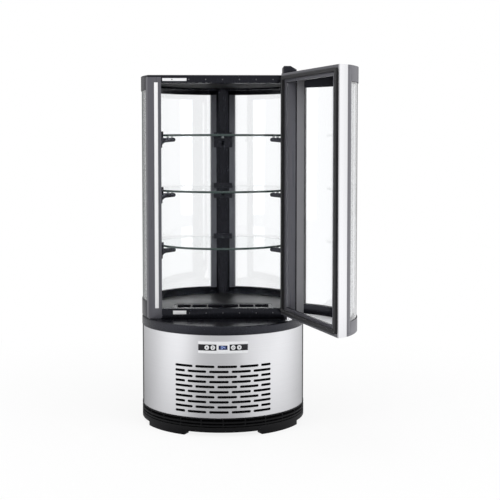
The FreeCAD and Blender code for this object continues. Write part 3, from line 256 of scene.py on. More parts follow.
# tones: darkest and lightest; stretch: grain per metre along x, y, z; gloss: roughness range;
# relief: strength of the bump; pores: fine bumps per metre; sockets: the shader's own constants
coolSheen = (0.84, 0.86, 1.0, 1)
finishes = {
    "frame_black": {"tones": ((0.0042, 0.0043, 0.0058), (0.0070, 0.0071, 0.0096)),
                    "stretch": (260, 260, 30),
                    "gloss": (0.18, 0.22), "relief": 0.02, "pores": 2400,
                    "sockets": {"Specular IOR Level": 0.28, "Specular Tint": coolSheen}},
    "cap_black": {"tones": ((0.0042, 0.0043, 0.0058), (0.0070, 0.0071, 0.0096)), "stretch": (260, 260, 260),
                  "gloss": (0.42, 0.50), "relief": 0.03, "pores": 2400,
                  "sockets": {"Specular IOR Level": 0.16, "Specular Tint": coolSheen}},
    "black_plastic": {"tones": ((0.0037, 0.0038, 0.0050), (0.0060, 0.0061, 0.0082)),
                      "stretch": (420, 420, 420),
                      "gloss": (0.24, 0.30), "relief": 0.03, "pores": 1800,
                      "sockets": {"Specular IOR Level": 0.40, "Specular Tint": coolSheen}},
    "plinth_black": {"tones": ((0.0035, 0.0035, 0.0040), (0.0060, 0.0060, 0.0068)),
                     "stretch": (420, 420, 420),
                     "gloss": (0.45, 0.55), "relief": 0.08, "pores": 1800,
                     "sockets": {"Specular IOR Level": 0.15}},
    # painted shade: the near-black of the sheet behind the front slots
    "shade_felt": {"tones": ((0.0025, 0.0025, 0.0028), (0.0055, 0.0055, 0.0060)),
                    "stretch": (900, 900, 900),
                    "gloss": (0.85, 0.95), "relief": 0.3, "pores": 1400,
                    "sockets": {"Specular IOR Level": 0.1}},
    "ceiling_dark": {"tones": ((0.0100, 0.0101, 0.0128), (0.0145, 0.0147, 0.0186)),
                     "stretch": (200, 200, 200),
                     "gloss": (0.6, 0.7), "relief": 0.08, "pores": 1500,
                     "sockets": {"Specular IOR Level": 0.2}},
    # the next four greys are the black frame painted lighter: painted sheen and painted light where light falls on
    # it
    "post_painted_sheen": {"tones": ((0.083, 0.082, 0.095), (0.085, 0.084, 0.098)), "stretch": (160, 160, 4),
                  "gloss": (0.27, 0.29), "relief": 0.01, "pores": 2400},
    "shell_painted_sheen": {"tones": ((0.118, 0.116, 0.132), (0.122, 0.120, 0.136)), "stretch": (160, 160, 4),
                   "gloss": (0.29, 0.31), "relief": 0.01, "pores": 2400},
    "rebate_painted_light": {"tones": ((0.200, 0.198, 0.209), (0.205, 0.203, 0.215)), "stretch": (160, 160, 4),
                    "gloss": (0.31, 0.33), "relief": 0.01, "pores": 2400},
    "wing_painted_sheen": {"tones": ((0.112, 0.113, 0.128), (0.138, 0.139, 0.157)), "stretch": (260, 260, 30),
                  "gloss": (0.34, 0.42), "relief": 0.04, "pores": 2400},
    "black_sheet": {"tones": ((0.0070, 0.0070, 0.0078), (0.0110, 0.0110, 0.0120)), "stretch": (90, 90, 90),
                    "gloss": (0.44, 0.52), "relief": 0.06, "pores": 900,
                    "sockets": {"Specular IOR Level": 0.45}},
    "spacer_black": {"tones": ((0.014, 0.014, 0.014), (0.022, 0.022, 0.022)), "stretch": (300, 300, 40),
                     "gloss": (0.5, 0.62), "relief": 0.05, "pores": 1500},
    "black_rubber": {"tones": ((0.012, 0.012, 0.013), (0.022, 0.022, 0.023)), "stretch": (500, 500, 500),
                     "gloss": (0.55, 0.72), "relief": 0.15, "pores": 2200},
    "compressor_black": {"tones": ((0.010, 0.010, 0.010), (0.016, 0.016, 0.016)), "stretch": (60, 60, 60),
                         "gloss": (0.16, 0.26), "relief": 0.2, "pores": 300},
    "fan_plastic": {"tones": ((0.016, 0.016, 0.017), (0.026, 0.026, 0.027)), "stretch": (300, 300, 300),
                    "gloss": (0.34, 0.44), "relief": 0.06, "pores": 1500},
    "pan_plastic": {"tones": ((0.055, 0.055, 0.058), (0.075, 0.075, 0.078)), "stretch": (200, 200, 200),
                    "gloss": (0.4, 0.5), "relief": 0.06, "pores": 1200},
    "motor_grey": {"tones": ((0.16, 0.16, 0.17), (0.23, 0.23, 0.24)), "stretch": (150, 150, 150),
                   "gloss": (0.38, 0.5), "relief": 0.1, "pores": 700},
    "white_lining": {"tones": ((0.74, 0.75, 0.76), (0.82, 0.83, 0.84)), "stretch": (40, 40, 40),
                     "gloss": (0.32, 0.42), "relief": 0.05, "pores": 600},
    "clear_pad": {"tones": ((0.52, 0.54, 0.55), (0.66, 0.68, 0.69)), "stretch": (400, 400, 400),
                  "gloss": (0.2, 0.3), "relief": 0.04, "pores": 1500,
                  "sockets": {"Transmission Weight": 0.45}},
    "brushed_steel": {"tones": ((0.71, 0.712, 0.72), (0.79, 0.792, 0.80)), "stretch": (5, 5, 2600),
                      "gloss": (0.36, 0.42), "relief": 0.008, "pores": 700, "brushed": True, "around": True,
                      "sockets": {"Metallic": 1.0, "Anisotropic": 0.6, "Anisotropic Rotation": 0.25}},
    "deck_steel": {"tones": ((0.12, 0.122, 0.126), (0.145, 0.147, 0.151)), "stretch": (900, 9, 9),
                   "gloss": (0.38, 0.46), "relief": 0.02, "pores": 500, "brushed": True,
                   "sockets": {"Metallic": 1.0}},
    "bright_aluminium": {"tones": ((0.64, 0.64, 0.645), (0.71, 0.71, 0.715)), "stretch": (1500, 1500, 8),
                         "gloss": (0.24, 0.34), "relief": 0.04, "pores": 900, "brushed": True,
                         "sockets": {"Metallic": 1.0}},
    "strike_bright": {"tones": ((0.85, 0.85, 0.86), (0.90, 0.90, 0.91)), "stretch": (1500, 1500, 8),
                      "gloss": (0.35, 0.45), "relief": 0.03, "pores": 900, "brushed": True,
                      "sockets": {"Metallic": 0.15}},
    "plated_steel": {"tones": ((0.66, 0.66, 0.67), (0.78, 0.78, 0.79)), "stretch": (120, 120, 120),
                     "gloss": (0.14, 0.24), "relief": 0.06, "pores": 800, "sockets": {"Metallic": 1.0}},
    "silver_bezel": {"tones": ((0.82, 0.825, 0.84), (0.88, 0.885, 0.90)), "stretch": (30, 30, 900),
                     "gloss": (0.30, 0.36), "relief": 0.03, "pores": 1200, "sockets": {"Metallic": 0.25}},
    "zinc_fixing": {"tones": ((0.12, 0.12, 0.125), (0.18, 0.18, 0.185)), "stretch": (300, 300, 300),
                    "gloss": (0.3, 0.42), "relief": 0.05, "pores": 1800, "sockets": {"Metallic": 0.9}},
    "coil_aluminium": {"tones": ((0.50, 0.50, 0.51), (0.66, 0.66, 0.67)), "stretch": (40, 900, 40),
                       "gloss": (0.32, 0.46), "relief": 0.1, "pores": 900, "sockets": {"Metallic": 1.0}},
    # painted shade: the condenser coil is near-black, standing in for the shade behind the front slots
    "coil_painted_shade": {"tones": ((0.008, 0.008, 0.009), (0.014, 0.014, 0.015)), "stretch": (40, 900, 40),
                    "gloss": (0.5, 0.65), "relief": 0.1, "pores": 900},
    "copper": {"tones": ((0.50, 0.24, 0.14), (0.72, 0.42, 0.28)), "stretch": (60, 60, 60),
               "gloss": (0.22, 0.36), "relief": 0.05, "pores": 700, "sockets": {"Metallic": 1.0}},
    "black_fascia": {"tones": ((0.008, 0.008, 0.010), (0.013, 0.013, 0.016)), "stretch": (300, 300, 300),
                     "gloss": (0.12, 0.16), "relief": 0.01, "pores": 900,
                     "sockets": {"Specular IOR Level": 0.3}},
    "blue_display": {"tones": ((0.006, 0.010, 0.050), (0.010, 0.018, 0.080)), "stretch": (900, 900, 900),
                     "gloss": (0.06, 0.12), "relief": 0.005, "pores": 900,
                     "sockets": {"Specular IOR Level": 0.4}},
    "white_button": {"tones": ((0.74, 0.75, 0.76), (0.84, 0.85, 0.86)), "stretch": (500, 500, 500),
                     "gloss": (0.26, 0.34), "relief": 0.03, "pores": 2000},
    "icon_dark": {"tones": ((0.010, 0.010, 0.012), (0.018, 0.018, 0.022)), "stretch": (900, 900, 900),
                  "gloss": (0.4, 0.5), "relief": 0.02, "pores": 2500},
    "digit_light": {"tones": ((0.30, 0.42, 0.86), (0.42, 0.55, 0.95)), "stretch": (900, 900, 900),
                    "gloss": (0.3, 0.4), "relief": 0.01, "pores": 2500,
                    "sockets": {"Emission Color": (0.35, 0.5, 1.0, 1), "Emission Strength": 0.35}},
    "shelf_edge": {"tones": ((0.035, 0.060, 0.055), (0.060, 0.095, 0.088)), "stretch": (90, 90, 900),
                   "gloss": (0.10, 0.2), "relief": 0.03, "pores": 900,
                   "sockets": {"Transmission Weight": 0.35}},
}
grainForm = {"low": 0.3, "high": 0.7, "detail": 4.0, "rough": 0.6, "poreDetail": 2.0, "deep": 0.0004}
# tint: seen face-on; edgeOn: seen along the pane, reached between the two leans; lets: what light keeps
glassLooks = {
    "clear_glass": {"tint": (0.982, 0.988, 0.994, 1), "edgeOn": (0.02, 0.028, 0.026, 1),
                    "leans": (0.58, 0.84), "lets": (0.97, 0.98, 0.985, 1)},
    "door_glass": {"tint": (0.982, 0.988, 0.994, 1), "edgeOn": (0.02, 0.028, 0.026, 1),
                   "leans": (0.82, 0.93), "lets": (0.97, 0.98, 0.985, 1)},
    "shelf_glass": {"tint": (0.93, 0.965, 0.96, 1), "lets": (0.93, 0.955, 0.95, 1)},
}
glassForm = {"bend": 1.45, "filmScale": 14.0, "filmDetail": 3.0, "filmLow": 0.45, "filmHigh": 0.75,
             "film": (0.0, 0.008)}


def makeFinish(name, look):
    material = bpy.data.materials.new(name)
    material.use_nodes = True
    tree = material.node_tree
    shader = tree.nodes["Principled BSDF"]
    for socket, value in look.get("sockets", {}).items():
        shader.inputs[socket].default_value = value
    place = addNode(tree, "ShaderNodeTexCoord")
    stretch = addNode(tree, "ShaderNodeMapping", {"Scale": look["stretch"]})
    grain = addNode(tree, "ShaderNodeTexNoise", {"Scale": 1.0, "Detail": grainForm["detail"],
                                                "Roughness": grainForm["rough"]})
    tone = addNode(tree, "ShaderNodeValToRGB")
    ends = (grainForm["low"], grainForm["high"])
    for element, position, colour in zip(tone.color_ramp.elements, ends, look["tones"]):
        element.position = position
        element.color = (*colour, 1)
    gloss = addNode(tree, "ShaderNodeMapRange", {"From Min": ends[0], "From Max": ends[1],
                                                 "To Min": look["gloss"][0], "To Max": look["gloss"][1]})
    pores = addNode(tree, "ShaderNodeTexNoise", {"Scale": look["pores"], "Detail": grainForm["poreDetail"]})
    bump = addNode(tree, "ShaderNodeBump", {"Strength": look["relief"], "Distance": grainForm["deep"]})
    links = tree.links
    links.new(place.outputs["Object"], stretch.inputs["Vector"])
    links.new(stretch.outputs["Vector"], grain.inputs["Vector"])
    links.new(grain.outputs["Fac"], tone.inputs["Fac"])
    links.new(tone.outputs["Color"], shader.inputs["Base Color"])
    links.new(grain.outputs["Fac"], gloss.inputs["Value"])
    links.new(gloss.outputs[0], shader.inputs["Roughness"])
    if look.get("brushed"):
        links.new(grain.outputs["Fac"], bump.inputs["Height"])
    else:
        links.new(place.outputs["Object"], pores.inputs["Vector"])
        links.new(pores.outputs["Fac"], bump.inputs["Height"])
    links.new(bump.outputs["Normal"], shader.inputs["Normal"])
    if look.get("around"):
        brush = addNode(tree, "ShaderNodeTangent", direction_type="RADIAL", axis="Z")
        links.new(brush.outputs["Tangent"], shader.inputs["Tangent"])
    return material


def makeGlass(name, look):
    # lamps pass straight through, so the cabin stays lit
    material = bpy.data.materials.new(name)
    material.use_nodes = True
    tree = material.node_tree
    shader = tree.nodes["Principled BSDF"]
    shader.inputs["Transmission Weight"].default_value = 1.0
    shader.inputs["Base Color"].default_value = look["tint"]
    shader.inputs["IOR"].default_value = glassForm["bend"]
    place = addNode(tree, "ShaderNodeTexCoord")
    film = addNode(tree, "ShaderNodeTexNoise", {"Scale": glassForm["filmScale"],
                                                "Detail": glassForm["filmDetail"]})
    gloss = addNode(tree, "ShaderNodeMapRange", {
        "From Min": glassForm["filmLow"], "From Max": glassForm["filmHigh"],
        "To Min": glassForm["film"][0], "To Max": glassForm["film"][1]})
    path = addNode(tree, "ShaderNodeLightPath")
    clear = addNode(tree, "ShaderNodeBsdfTransparent", {"Color": look["lets"]})
    mix = addNode(tree, "ShaderNodeMixShader")
    out = tree.nodes["Material Output"]
    links = tree.links
    if "edgeOn" in look:  # along the pane there is more glass to see through, so it is darker
        lean = addNode(tree, "ShaderNodeLayerWeight", {"Blend": 0.5})
        depth = addNode(tree, "ShaderNodeValToRGB")
        for element, position, key in zip(depth.color_ramp.elements, look["leans"], ("tint", "edgeOn")):
            element.position = position
            element.color = look[key]
        links.new(lean.outputs["Facing"], depth.inputs["Fac"])
        links.new(depth.outputs["Color"], shader.inputs["Base Color"])
    links.new(place.outputs["Object"], film.inputs["Vector"])
    links.new(film.outputs["Fac"], gloss.inputs["Value"])
    links.new(gloss.outputs[0], shader.inputs["Roughness"])
    links.new(path.outputs["Is Shadow Ray"], mix.inputs["Fac"])
    links.new(shader.outputs[0], mix.inputs[1])
    links.new(clear.outputs[0], mix.inputs[2])
    links.new(mix.outputs[0], out.inputs["Surface"])
    return material


finishOf = {name: makeFinish(name, look) for name, look in finishes.items()}
finishOf.update({name: makeGlass(name, look) for name, look in glassLooks.items()})
# the posts and door stiles take a grey that is painted sheen on the black frame
ownFinish = {"deck_plate": "deck_steel", "door_floor_plate": "strike_bright", "condenser_coil": "coil_painted_shade",
             "strike_strips": "strike_bright", "plinth_ring": "plinth_black", "left_post": "post_painted_sheen",
             "right_post": "post_painted_sheen", "door_latch_stile": "post_painted_sheen", "door_hinge_stile": "post_painted_sheen",
             "door_top_cap": "cap_black", "door_outer_glass": "door_glass", "door_inner_glass": "door_glass"}
for name, node in nodes.items():
    chosen = finishOf[ownFinish.get(name, slotOf[name])]
    for index in range(len(node.material_slots)):
        node.material_slots[index].material = chosen
print("finishes:", len(finishOf))


def settle(name, mesh, body, replaced=(), sharpDeg=40.0):
    mesh.shade_smooth()
    mesh.set_sharp_from_angle(angle=math.radians(sharpDeg))
    piece = bpy.data.objects.new(name, mesh)
    scene.collection.objects.link(piece)
    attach(piece, body)
    if replaced:
        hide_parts(*replaced)


def meshFrom(bm, name, *materials):
    mesh = bpy.data.meshes.new(name)
    bm.to_mesh(mesh)
    bm.free()
    for layer in ("custom_normal", "sharp_edge", "sharp_face"):
        if layer in mesh.attributes:
            mesh.attributes.remove(mesh.attributes[layer])
    for material in materials:
        mesh.materials.append(material)
    return mesh


mergeForm = {"doubles": 2e-6, "flatDeg": 0.2}
easeForm = {"segments": 2, "cornerDeg": 32.0, "profile": 0.6}


def mergedCopy(node):
    bm = bmesh.new()
    bm.from_mesh(nodes[node].data)
    bmesh.ops.remove_doubles(bm, verts=bm.verts, dist=mergeForm["doubles"])
    bmesh.ops.dissolve_limit(bm, angle_limit=math.radians(mergeForm["flatDeg"]), verts=bm.verts,
                             edges=bm.edges)
    return bm


def easeEdges(bm, width):
    corner = math.radians(easeForm["cornerDeg"])
    edges = [e for e in bm.edges if len(e.link_faces) == 2 and e.calc_face_angle(0.0) > corner]
    bmesh.ops.bevel(bm, geom=edges, offset=width, offset_type="OFFSET", segments=easeForm["segments"],
                    profile=easeForm["profile"], affect="EDGES", clamp_overlap=True, harden_normals=False)


def joinRings(bm, rings):
    # walls between rings of corners, and a face on both ends
    for ring, following in zip(rings, rings[1:]):
        for index in range(len(ring)):
            after = (index + 1) % len(ring)
            bm.faces.new((ring[index], ring[after], following[after], following[index]))
    bm.faces.new(rings[0])
    bm.faces.new(rings[-1])


# the door stands open at rest: swing takes it there from shut
hinge = next(joint for joint in frame["joints"] if joint["name"] == "door_hinge")
pivot = Vector(hinge["pos_m"])
openDeg = -hinge["range_deg"][0]
opened = Matrix.Rotation(math.radians(openDeg), 4, "Z")
swing = Matrix.Translation(pivot) @ opened @ Matrix.Translation(-pivot)


# frames, trims and covers: the solids with their edges eased as moulded or drawn parts have them
easedEdges = {
    "left_post": 0.8, "right_post": 0.8, "rear_post": 0.8, "front_sill": 0.6, "front_header": 0.6,
    "bottom_rails": 0.4, "top_rails": 0.4, "collar": 0.6, "roof_cap": 0.6, "ceiling_panel": 0.4,
    "air_grille": 0.4, "door_top_cap": 0.8, "door_bottom_cap": 0.8, "door_latch_stile": 0.7,
    "door_hinge_stile": 0.7, "door_inner_frame": 0.6, "door_handle": 0.35, "top_hinge_cover": 1.2,
    "top_hinge_bracket": 0.4, "bottom_hinge_bracket": 0.5, "strike_strips": 0.25, "control_bezel": 0.45,
    "control_fascia": 0.2, "shelf_brackets": 0.7, "plinth_ring": 0.45, "deck_plate": 0.25,
    "controller_box": 0.5, "condenser_shroud": 0.4, "drain_pan": 0.6, "insulated_tub": 0.8,
    "button_up": 0.2, "button_down": 0.2, "button_power": 0.2, "button_lamp": 0.2,
}
# where a piece has a second finish, mostly painted sheen or painted shade: places in metres, with the door shut
secondPlaces = {
    "shellOut": 0.2, "tubOut": 0.02, "tubUnder": -0.5,  # how far a face looks out from the axis, or down
    "wingSide": 0.0225, "wingReach": 0.2245, "uprightLow": 0.42, "uprightHigh": 0.93,
    "rebateLine": -0.1476, "grooveLine": -0.1443, "grooveSide": 0.157,
    "rebateFaces": Vector((-0.94, 0.33, 0)), "rebateAlike": 0.9,
}


def onDoorShell(spot, normal):
    return normal.xy.dot(spot.xy) > secondPlaces["shellOut"]


def onTubOutside(spot, normal):
    return normal.z < secondPlaces["tubUnder"] or normal.xy.dot(spot.xy) > secondPlaces["tubOut"]


def onPostWing(spot, normal):
    return abs(spot.x) > secondPlaces["wingSide"] and spot.xy.length < secondPlaces["wingReach"]


def onDoorUpright(spot, normal):
    return secondPlaces["uprightLow"] < spot.z < secondPlaces["uprightHigh"]


def inGlassRebate(spot, normal):
    facing = normal.dot(secondPlaces["rebateFaces"])
    return spot.y < secondPlaces["rebateLine"] and facing > secondPlaces["rebateAlike"]


def inGroove(spot, normal):
    between = secondPlaces["rebateLine"] < spot.y < secondPlaces["grooveLine"]
    return between and spot.x < secondPlaces["grooveSide"]


otherFinishes = {
    # painted reflection: the door's outward faces take a lighter grey than its black
    "door_top_cap": (("shell_painted_sheen", onDoorShell),),
    "door_bottom_cap": (("shell_painted_sheen", onDoorShell),),
    "door_latch_stile": (("shell_painted_sheen", onDoorShell),),
    # painted light: the hinge stile's glass rebate is a lighter grey, and its groove keeps the plain black
    "door_hinge_stile": (("rebate_painted_light", inGlassRebate), ("frame_black", inGroove)),
    # painted sheen: a lighter band on the inner frame's uprights between two heights
    "door_inner_frame": (("post_painted_sheen", onDoorUpright),),
    # painted sheen: the rear post's wings take a lighter grey than its black
    "rear_post": (("wing_painted_sheen", onPostWing),),
    # painted shade: the tub's outer and under faces take black, standing in for the shade seen through the slots
    "insulated_tub": (("black_plastic", onTubOutside),),
}
for name, width in easedEdges.items():
    bm = mergedCopy(name)
    easeEdges(bm, width * mm)
    finishNames = [ownFinish.get(name, slotOf[name])]
    shut = swing.inverted() if bodyOf[name] == "door" else Matrix.Identity(4)
    for other, chosen in otherFinishes.get(name, ()):
        finishNames.append(other)
        for face in bm.faces:
            if chosen(shut @ face.calc_center_median(), shut.to_3x3() @ face.normal):
                face.material_index = len(finishNames) - 1
    mesh = meshFrom(bm, name + "Eased", *(finishOf[finish] for finish in finishNames))
    settle(name + "Eased", mesh, bodyOf[name], (name,))
print("eased pieces:", len(easedEdges))


# glass shelves with a ground, greener rim
shelfForm = {"level": 0.9, "sharpDeg": 30.0}
for name in ("lower_shelf", "middle_shelf", "upper_shelf"):
    bm = mergedCopy(name)
    for face in bm.faces:
        face.material_index = 1 if abs(face.normal.z) < shelfForm["level"] else 0
    mesh = meshFrom(bm, name + "Glass", finishOf["shelf_glass"], finishOf["shelf_edge"])
    settle(name + "Glass", mesh, bodyOf[name], (name,), shelfForm["sharpDeg"])
print("shelves done")


# curved panes, drawn from their own radii and plan angles so the bent glass stays smooth
paneForm = {"stepDeg": 0.3, "fewest": 8, "edge": 0.6, "sharpDeg": 30.0}


def planAngle(point):
    return math.degrees(math.atan2(point.x, -point.y))


def onRound(radius, degrees, height):
    turn = math.radians(degrees)
    return Vector((radius * math.sin(turn), -radius * math.cos(turn), height))


def addPane(bm, inner, outer, start, end, low, high):
    count = max(paneForm["fewest"], round((end - start) / paneForm["stepDeg"]))
    edge = paneForm["edge"] * mm
    outline = ((inner, low + edge), (inner + edge, low), (outer - edge, low), (outer, low + edge),
               (outer, high - edge), (outer - edge, high), (inner + edge, high), (inner, high - edge))
    rings = []
    for step in range(count + 1):
        angle = start + (end - start) * step / count
        rings.append([bm.verts.new(onRound(radius, angle, height)) for radius, height in outline])
    joinRings(bm, rings)


def curvedPanes(node, home, sides):
    points = [home @ vertex.co for vertex in nodes[node].data.vertices]
    radii = [math.hypot(point.x, point.y) for point in points]
    heights = [point.z for point in points]
    bm = bmesh.new()
    for side in sides:
        angles = [planAngle(point) for point in points if side == 0 or planAngle(point) * side > 0]
        addPane(bm, min(radii), max(radii), min(angles), max(angles), min(heights), max(heights))
    bmesh.ops.recalc_face_normals(bm, faces=bm.faces)
    bmesh.ops.transform(bm, matrix=home.inverted(), verts=bm.verts)
    mesh = meshFrom(bm, node + "Bent", finishOf[ownFinish.get(node, slotOf[node])])
    settle(node + "Bent", mesh, bodyOf[node], (node,), paneForm["sharpDeg"])


for name in ("outer_panes", "inner_panes"):
    curvedPanes(name, Matrix.Identity(4), (-1, 1))
for name in ("door_outer_glass", "door_inner_glass"):
    curvedPanes(name, swing.inverted(), (0,))
print("panes bent")


# Geometry Nodes: one tree sweeps a profile round a frame, one sets fixings on points
def newTree(name, inputs):
    tree = bpy.data.node_groups.new(name, "GeometryNodeTree")
    tree.interface.new_socket("Geometry", in_out="INPUT", socket_type="NodeSocketGeometry")
    identifiers = {}
    for label, kind in inputs.items():
        identifiers[label] = tree.interface.new_socket(label, in_out="INPUT", socket_type=kind).identifier
    tree.interface.new_socket("Geometry", in_out="OUTPUT", socket_type="NodeSocketGeometry")
    return tree, identifiers, addNode(tree, "NodeGroupInput"), addNode(tree, "NodeGroupOutput")


def endTree(tree, geometry, start, end):
    whole = addNode(tree, "GeometryNodeRealizeInstances")
    paint = addNode(tree, "GeometryNodeSetMaterial")
    tree.links.new(geometry, whole.inputs["Geometry"])
    tree.links.new(whole.outputs["Geometry"], paint.inputs["Geometry"])
    tree.links.new(start.outputs["Material"], paint.inputs["Material"])
    tree.links.new(paint.outputs["Geometry"], end.inputs["Geometry"])


def sweepTree():
    tree, identifiers, start, end = newTree("frameSweep", {
        "Width": "NodeSocketFloat", "Height": "NodeSocketFloat", "Corner": "NodeSocketFloat",
        "Steps": "NodeSocketInt", "Profile": "NodeSocketObject", "Material": "NodeSocketMaterial"})
    path = addNode(tree, "GeometryNodeCurvePrimitiveQuadrilateral")
    upright = addNode(tree, "GeometryNodeSetCurveNormal", mode="Z_UP")
    rounded = addNode(tree, "GeometryNodeFilletCurve", mode="POLY")
    section = addNode(tree, "GeometryNodeObjectInfo")
    swept = addNode(tree, "GeometryNodeCurveToMesh")
    for label in ("Width", "Height"):
        tree.links.new(start.outputs[label], path.inputs[label])
    tree.links.new(path.outputs["Curve"], rounded.inputs["Curve"])
    tree.links.new(start.outputs["Corner"], rounded.inputs["Radius"])
    tree.links.new(start.outputs["Steps"], rounded.inputs["Count"])
    tree.links.new(rounded.outputs["Curve"], upright.inputs["Curve"])
    tree.links.new(upright.outputs["Curve"], swept.inputs["Curve"])
    tree.links.new(start.outputs["Profile"], section.inputs["Object"])
    tree.links.new(section.outputs["Geometry"], swept.inputs["Profile Curve"])
    endTree(tree, swept.outputs["Mesh"], start, end)
    return tree, identifiers


def fixingTree():
    tree, identifiers, start, end = newTree("fixings", {
        "Head": "NodeSocketObject", "Seed": "NodeSocketInt", "Material": "NodeSocketMaterial"})
    points = addNode(tree, "GeometryNodeMeshToPoints")
    facing = addNode(tree, "GeometryNodeInputNamedAttribute", {"Name": "facing"}, data_type="FLOAT_VECTOR")
    lean = addNode(tree, "FunctionNodeAlignRotationToVector", axis="Z")
    spin = addNode(tree, "FunctionNodeRandomValue", data_type="FLOAT_VECTOR")
    spin.inputs["Min"].default_value = (0, 0, 0)
    spin.inputs["Max"].default_value = (0, 0, math.pi)
    turn = addNode(tree, "FunctionNodeRotateRotation", rotation_space="LOCAL")
    head = addNode(tree, "GeometryNodeObjectInfo")
    placed = addNode(tree, "GeometryNodeInstanceOnPoints")
    tree.links.new(start.outputs["Geometry"], points.inputs["Mesh"])
    tree.links.new(points.outputs["Points"], placed.inputs["Points"])
    tree.links.new(facing.outputs["Attribute"], lean.inputs["Vector"])
    tree.links.new(start.outputs["Seed"], spin.inputs["Seed"])
    tree.links.new(lean.outputs["Rotation"], turn.inputs["Rotation"])
    tree.links.new(spin.outputs["Value"], turn.inputs["Rotate By"])
    tree.links.new(turn.outputs["Rotation"], placed.inputs["Rotation"])
    tree.links.new(start.outputs["Head"], head.inputs["Object"])
    tree.links.new(head.outputs["Geometry"], placed.inputs["Instance"])
    endTree(tree, placed.outputs["Instances"], start, end)
    return tree, identifiers


def grown(name, base, treeAndIds, values):
    # runs a tree on a base mesh and keeps the plain result
    tree, identifiers = treeAndIds
    holder = bpy.data.objects.new(name + "Source", base)
    scene.collection.objects.link(holder)
    modifier = holder.modifiers.new(tree.name, "NODES")
    modifier.node_group = tree
    for label, value in values.items():
        modifier[identifiers[label]] = value
    graph = bpy.context.evaluated_depsgraph_get()
    mesh = bpy.data.meshes.new_from_object(holder.evaluated_get(graph))
    bpy.data.objects.remove(holder)
    mesh.name = name
    return mesh


# door gasket: a bellows section swept round the door, from the gasket solid's own box
gasketForm = {
    "corner": 6.0, "cornerSteps": 6, "sharpDeg": 50.0, "doubles": 1e-6,
    # across the seal and out from its seat, one half, in millimetres
    "half": ((1.1, -2.6), (1.7, -2.1), (1.7, 0.0), (4.6, 0.0), (5.0, 0.4), (5.0, 2.0), (4.4, 2.6), (3.2, 2.6),
             (2.5, 3.2), (2.9, 4.0), (2.5, 4.8), (3.2, 5.5), (4.5, 5.5), (5.0, 6.0), (5.0, 7.7), (4.2, 8.4),
             (2.4, 8.5)),
}


def makeGasket():
    home = swing.inverted()
    points = [home @ vertex.co for vertex in nodes["door_gasket"].data.vertices]
    low = Vector([min(point[axis] for point in points) for axis in range(3)])
    high = Vector([max(point[axis] for point in points) for axis in range(3)])
    half = gasketForm["half"]
    reach = max(across for across, out in half) * mm
    deep = min(out for across, out in half) * mm
    outline = list(half) + [(-across, out) for across, out in reversed(half)]
    line = bpy.data.curves.new("gasketSection", "CURVE")
    spline = line.splines.new("POLY")
    spline.points.add(len(outline) - 1)
    for point, (across, out) in zip(spline.points, outline):
        point.co = (across * mm, out * mm, 0, 1)
    spline.use_cyclic_u = True
    section = bpy.data.objects.new("gasketSection", line)
    scene.collection.objects.link(section)
    mesh = grown("gasketSweep", bpy.data.meshes.new("gasketBase"), sweepTree(), {
        "Width": high.x - low.x - 2 * reach, "Height": high.z - low.z - 2 * reach,
        "Corner": gasketForm["corner"] * mm, "Steps": gasketForm["cornerSteps"], "Profile": section,
        "Material": finishOf[slotOf["door_gasket"]]})
    bpy.data.objects.remove(section)
    rise = max(vertex.co.z for vertex in mesh.vertices)
    outward = 1.0 if rise > reach else -1.0  # the sweep may lay the section either way up
    seat = Matrix(((1, 0, 0, (low.x + high.x) / 2), (0, 0, outward, low.y - deep),
                   (0, 1, 0, (low.z + high.z) / 2), (0, 0, 0, 1)))
    mesh.transform(swing @ seat)
    bm = bmesh.new()
    bm.from_mesh(mesh)
    bmesh.ops.remove_doubles(bm, verts=bm.verts, dist=gasketForm["doubles"])
    bmesh.ops.recalc_face_normals(bm, faces=bm.faces)
    bm.to_mesh(mesh)
    bm.free()
    settle("gasketSweep", mesh, "door", ("door_gasket",), gasketForm["sharpDeg"])


makeGasket()
print("gasket swept")


# pleated black sheet between the front slots and the condenser: painted shade, standing in for the shade behind
# the slots
filterForm = {"halfDeg": 60.0, "pleatDeg": 0.8, "inner": 232.0, "outer": 235.5, "thick": 0.8,
              "low": 61.0, "high": 206.0, "sharpDeg": 20.0}


def addFilter():
    low, high = filterForm["low"], filterForm["high"]
    count = round(2 * filterForm["halfDeg"] / filterForm["pleatDeg"])
    bm = bmesh.new()
    rings = []
    for step in range(count + 1):
        angle = -filterForm["halfDeg"] + step * filterForm["pleatDeg"]
        near = filterForm["outer"] if step % 2 else filterForm["inner"]
        far = near + filterForm["thick"]
        section = ((near, low), (far, low), (far, high), (near, high))
        rings.append([bm.verts.new(onRound(reach * mm, angle, height * mm)) for reach, height in section])
    joinRings(bm, rings)
    bmesh.ops.recalc_face_normals(bm, faces=bm.faces)
    mesh = meshFrom(bm, "dustFilter", finishOf["shade_felt"])
    settle("dustFilter", mesh, "cabinet", sharpDeg=filterForm["sharpDeg"])


addFilter()
print("filter pleated")


# screw heads with a cross: rows on the cabin front and round the back casing
headForm = {"sides": 16, "rimHigh": 0.45, "crown": 0.78, "arms": 4, "slotLong": 0.62, "slotShort": 0.2,
            "slotDeep": 0.55, "seed": 7}
screwRows = {
    "header": {"radius": 1.8, "proud": 0.22, "count": 7, "from": -0.1445, "pitch": 0.048, "height": 0.9965},
    "sill": {"radius": 1.8, "proud": 0.22, "count": 6, "from": -0.0965, "pitch": 0.048, "height": 0.3265},
    "casing": {"radius": 3.2, "proud": 0.85, "inset": 9.0, "turns": (92, 118, 144, 170)},
}


